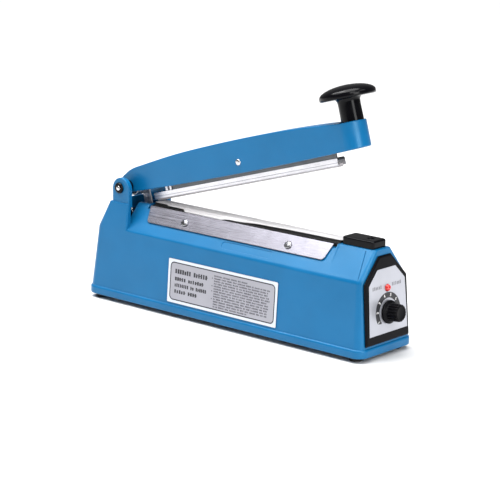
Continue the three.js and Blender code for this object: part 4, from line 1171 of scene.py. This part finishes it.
def word(dice, x, y, letters, height, pitch):
    """A row of small uneven blocks that stands for a word without spelling one."""
    blocks = []
    for i in range(letters):
        left = x + i * pitch
        width = pitch * dice.uniform(0.55, 0.8)
        drop = height * dice.choice((0, 0, 0, 0.16))
        blocks.append(bar_outline(left, left + width, y, y + height - drop))
        if dice.random() < 0.3:
            middle = y + height * 0.42
            blocks.append(bar_outline(left + width, left + pitch * 0.95, middle, middle + height * 0.2))
    return blocks


def panel_print():
    dice = random.Random(3)
    up = LAMP.up + 0.4
    blocks = word(dice, -19.5, up, 6, 3, 2.1) + word(dice, 6.4, up, 6, 3, 2.1)
    flat_print("panel_legend", blocks, WALL_PRINT, LABEL_FACE, legend_ink)


def label_frame(name, outer_inset, inner_inset, outer_corner, inner_corner, mat):
    """A band along the side label's edge, between two insets."""
    label = SIDE_LABEL
    outer, inner = (rounded_outline(label.x0 + inset, label.x1 - inset, label.low + inset,
                                    label.top - inset, corner)
                    for inset, corner in ((outer_inset, outer_corner), (inner_inset, inner_corner)))
    frame_print(name, outer, inner, SIDE_WALL, label.face, mat)


def rating_print():
    """The label's pale rim and dark border, and rows of blocks in place of its words."""
    label, face = SIDE_LABEL, SIDE_LABEL.face
    label_frame("rating_label_rim", 0.15, 2.5, 1.1, 4.2, pale_ink)
    label_frame("rating_label_border", 2.5, 3.5, 4.2, 3.2, dark_ink)
    dice = random.Random(5)
    left = label.x0 + 8.4
    blocks = []
    rows = [(28.6, 4.0, 2.75, (7, 6)), (22.2, 3.2, 2.65, (5, 7)), (16.6, 3.2, 2.1, (8, 2, 6)),
            (11.0, 3.2, 2.7, (5, 4))]
    for y, height, pitch, words in rows:
        x = left
        for letters in words:
            blocks += word(dice, x, y, letters, height, pitch)
            x += (letters + 1) * pitch
    flat_print("rating_label_heading", blocks, SIDE_WALL, face, dark_ink)
    blocks = []
    start, stop = label.x0 + 54.5, label.x1 - 7
    for row in range(13):
        y = 33.4 - row * 2.25
        if row in (1, 4, 6, 9):
            blocks.append(bar_outline(start - 2.6, start - 1.7, y + 0.2, y + 1.1))
        x = start
        limit = stop - dice.uniform(0, 3) if row not in (0, 12) else stop - 26
        while x < limit - 2:
            letters = min(dice.randint(2, 8), int((limit - x) / 1.1))
            blocks += word(dice, x, y, letters, 1.4, 1.1)
            x += (letters + 0.9) * 1.1
    flat_print("rating_label_rows", blocks, SIDE_WALL, face, grey_ink)


# ---------------- CAD nodes that are shown

def kept_nodes():
    shown = {
        "bottom_plate": (zinc_sheet, 0.3), "control_panel": (black_satin, 0.6),
        "dial_label": (dial_film, 0.08), "rating_label": (label_film, 0.08),
        "bed_insulator": (phenolic_board, 0.18), "heating_element": (ribbon_metal, 0.04),
        "element_terminal_rear": (brass, 0.3), "element_terminal_front": (brass, 0.2),
        "cord_grommet": (black_rubber, 0.3), "microswitch": (black_satin, 0.3),
        "switch_lever": (bright_steel, 0.12), "switch_tongue": (tongue_steel, 0.3),
        "tongue_screw": (bright_steel, 0.15), "knob_screw": (bright_steel, 0.2),
        "timer_shaft": (shaft_metal, 0.2), "timer_potentiometer": (zinc_sheet, 0.3),
        "timer_board": (green_board, 0.15), "timer_relay": (relay_plastic, 0.4),
        "timer_capacitor": (black_gloss, 0.5), "transformer_core": (core_sheets, 0.3),
        "transformer_coil": (coil_tape, 1.0), "transformer_bracket": (zinc_sheet, 0.3),
        "bar_guide_clip": (bar_metal, 0.25), "bar_rivet_rear": (bright_steel, 0.2),
        "bar_rivet_front": (bright_steel, 0.2),
    }
    for end, side in CORNERS:
        shown[f"foot_screw_{end}_{side}"] = (bright_steel, 0.2)
    for node, (mat, width) in shown.items():
        keep(node, mat, width)


def add_floor():
    mesh = bpy.data.meshes.new("floor")
    reach = 6
    corners = [(x, y, 0) for x, y in bar_outline(-reach, reach, -reach, reach)]
    mesh.from_pydata(corners, [], [(0, 1, 2, 3)])
    floor = link("floor", mesh)
    floor.data.materials.append(floor_paper)


add_camera()
add_studio()
add_floor()
ptfe_cloth()
base_housing()
arm_shell()
press_knob()
bar_channel()
bar_profile()
silicone_strip()
cover_plates()
plate_screws()
hinge_parts()
bar_pin()
feet()
return_spring()
terminal_cover()
indicator_lamp()
dial_knob()
dial_scale()
panel_print()
rating_print()
kept_nodes()
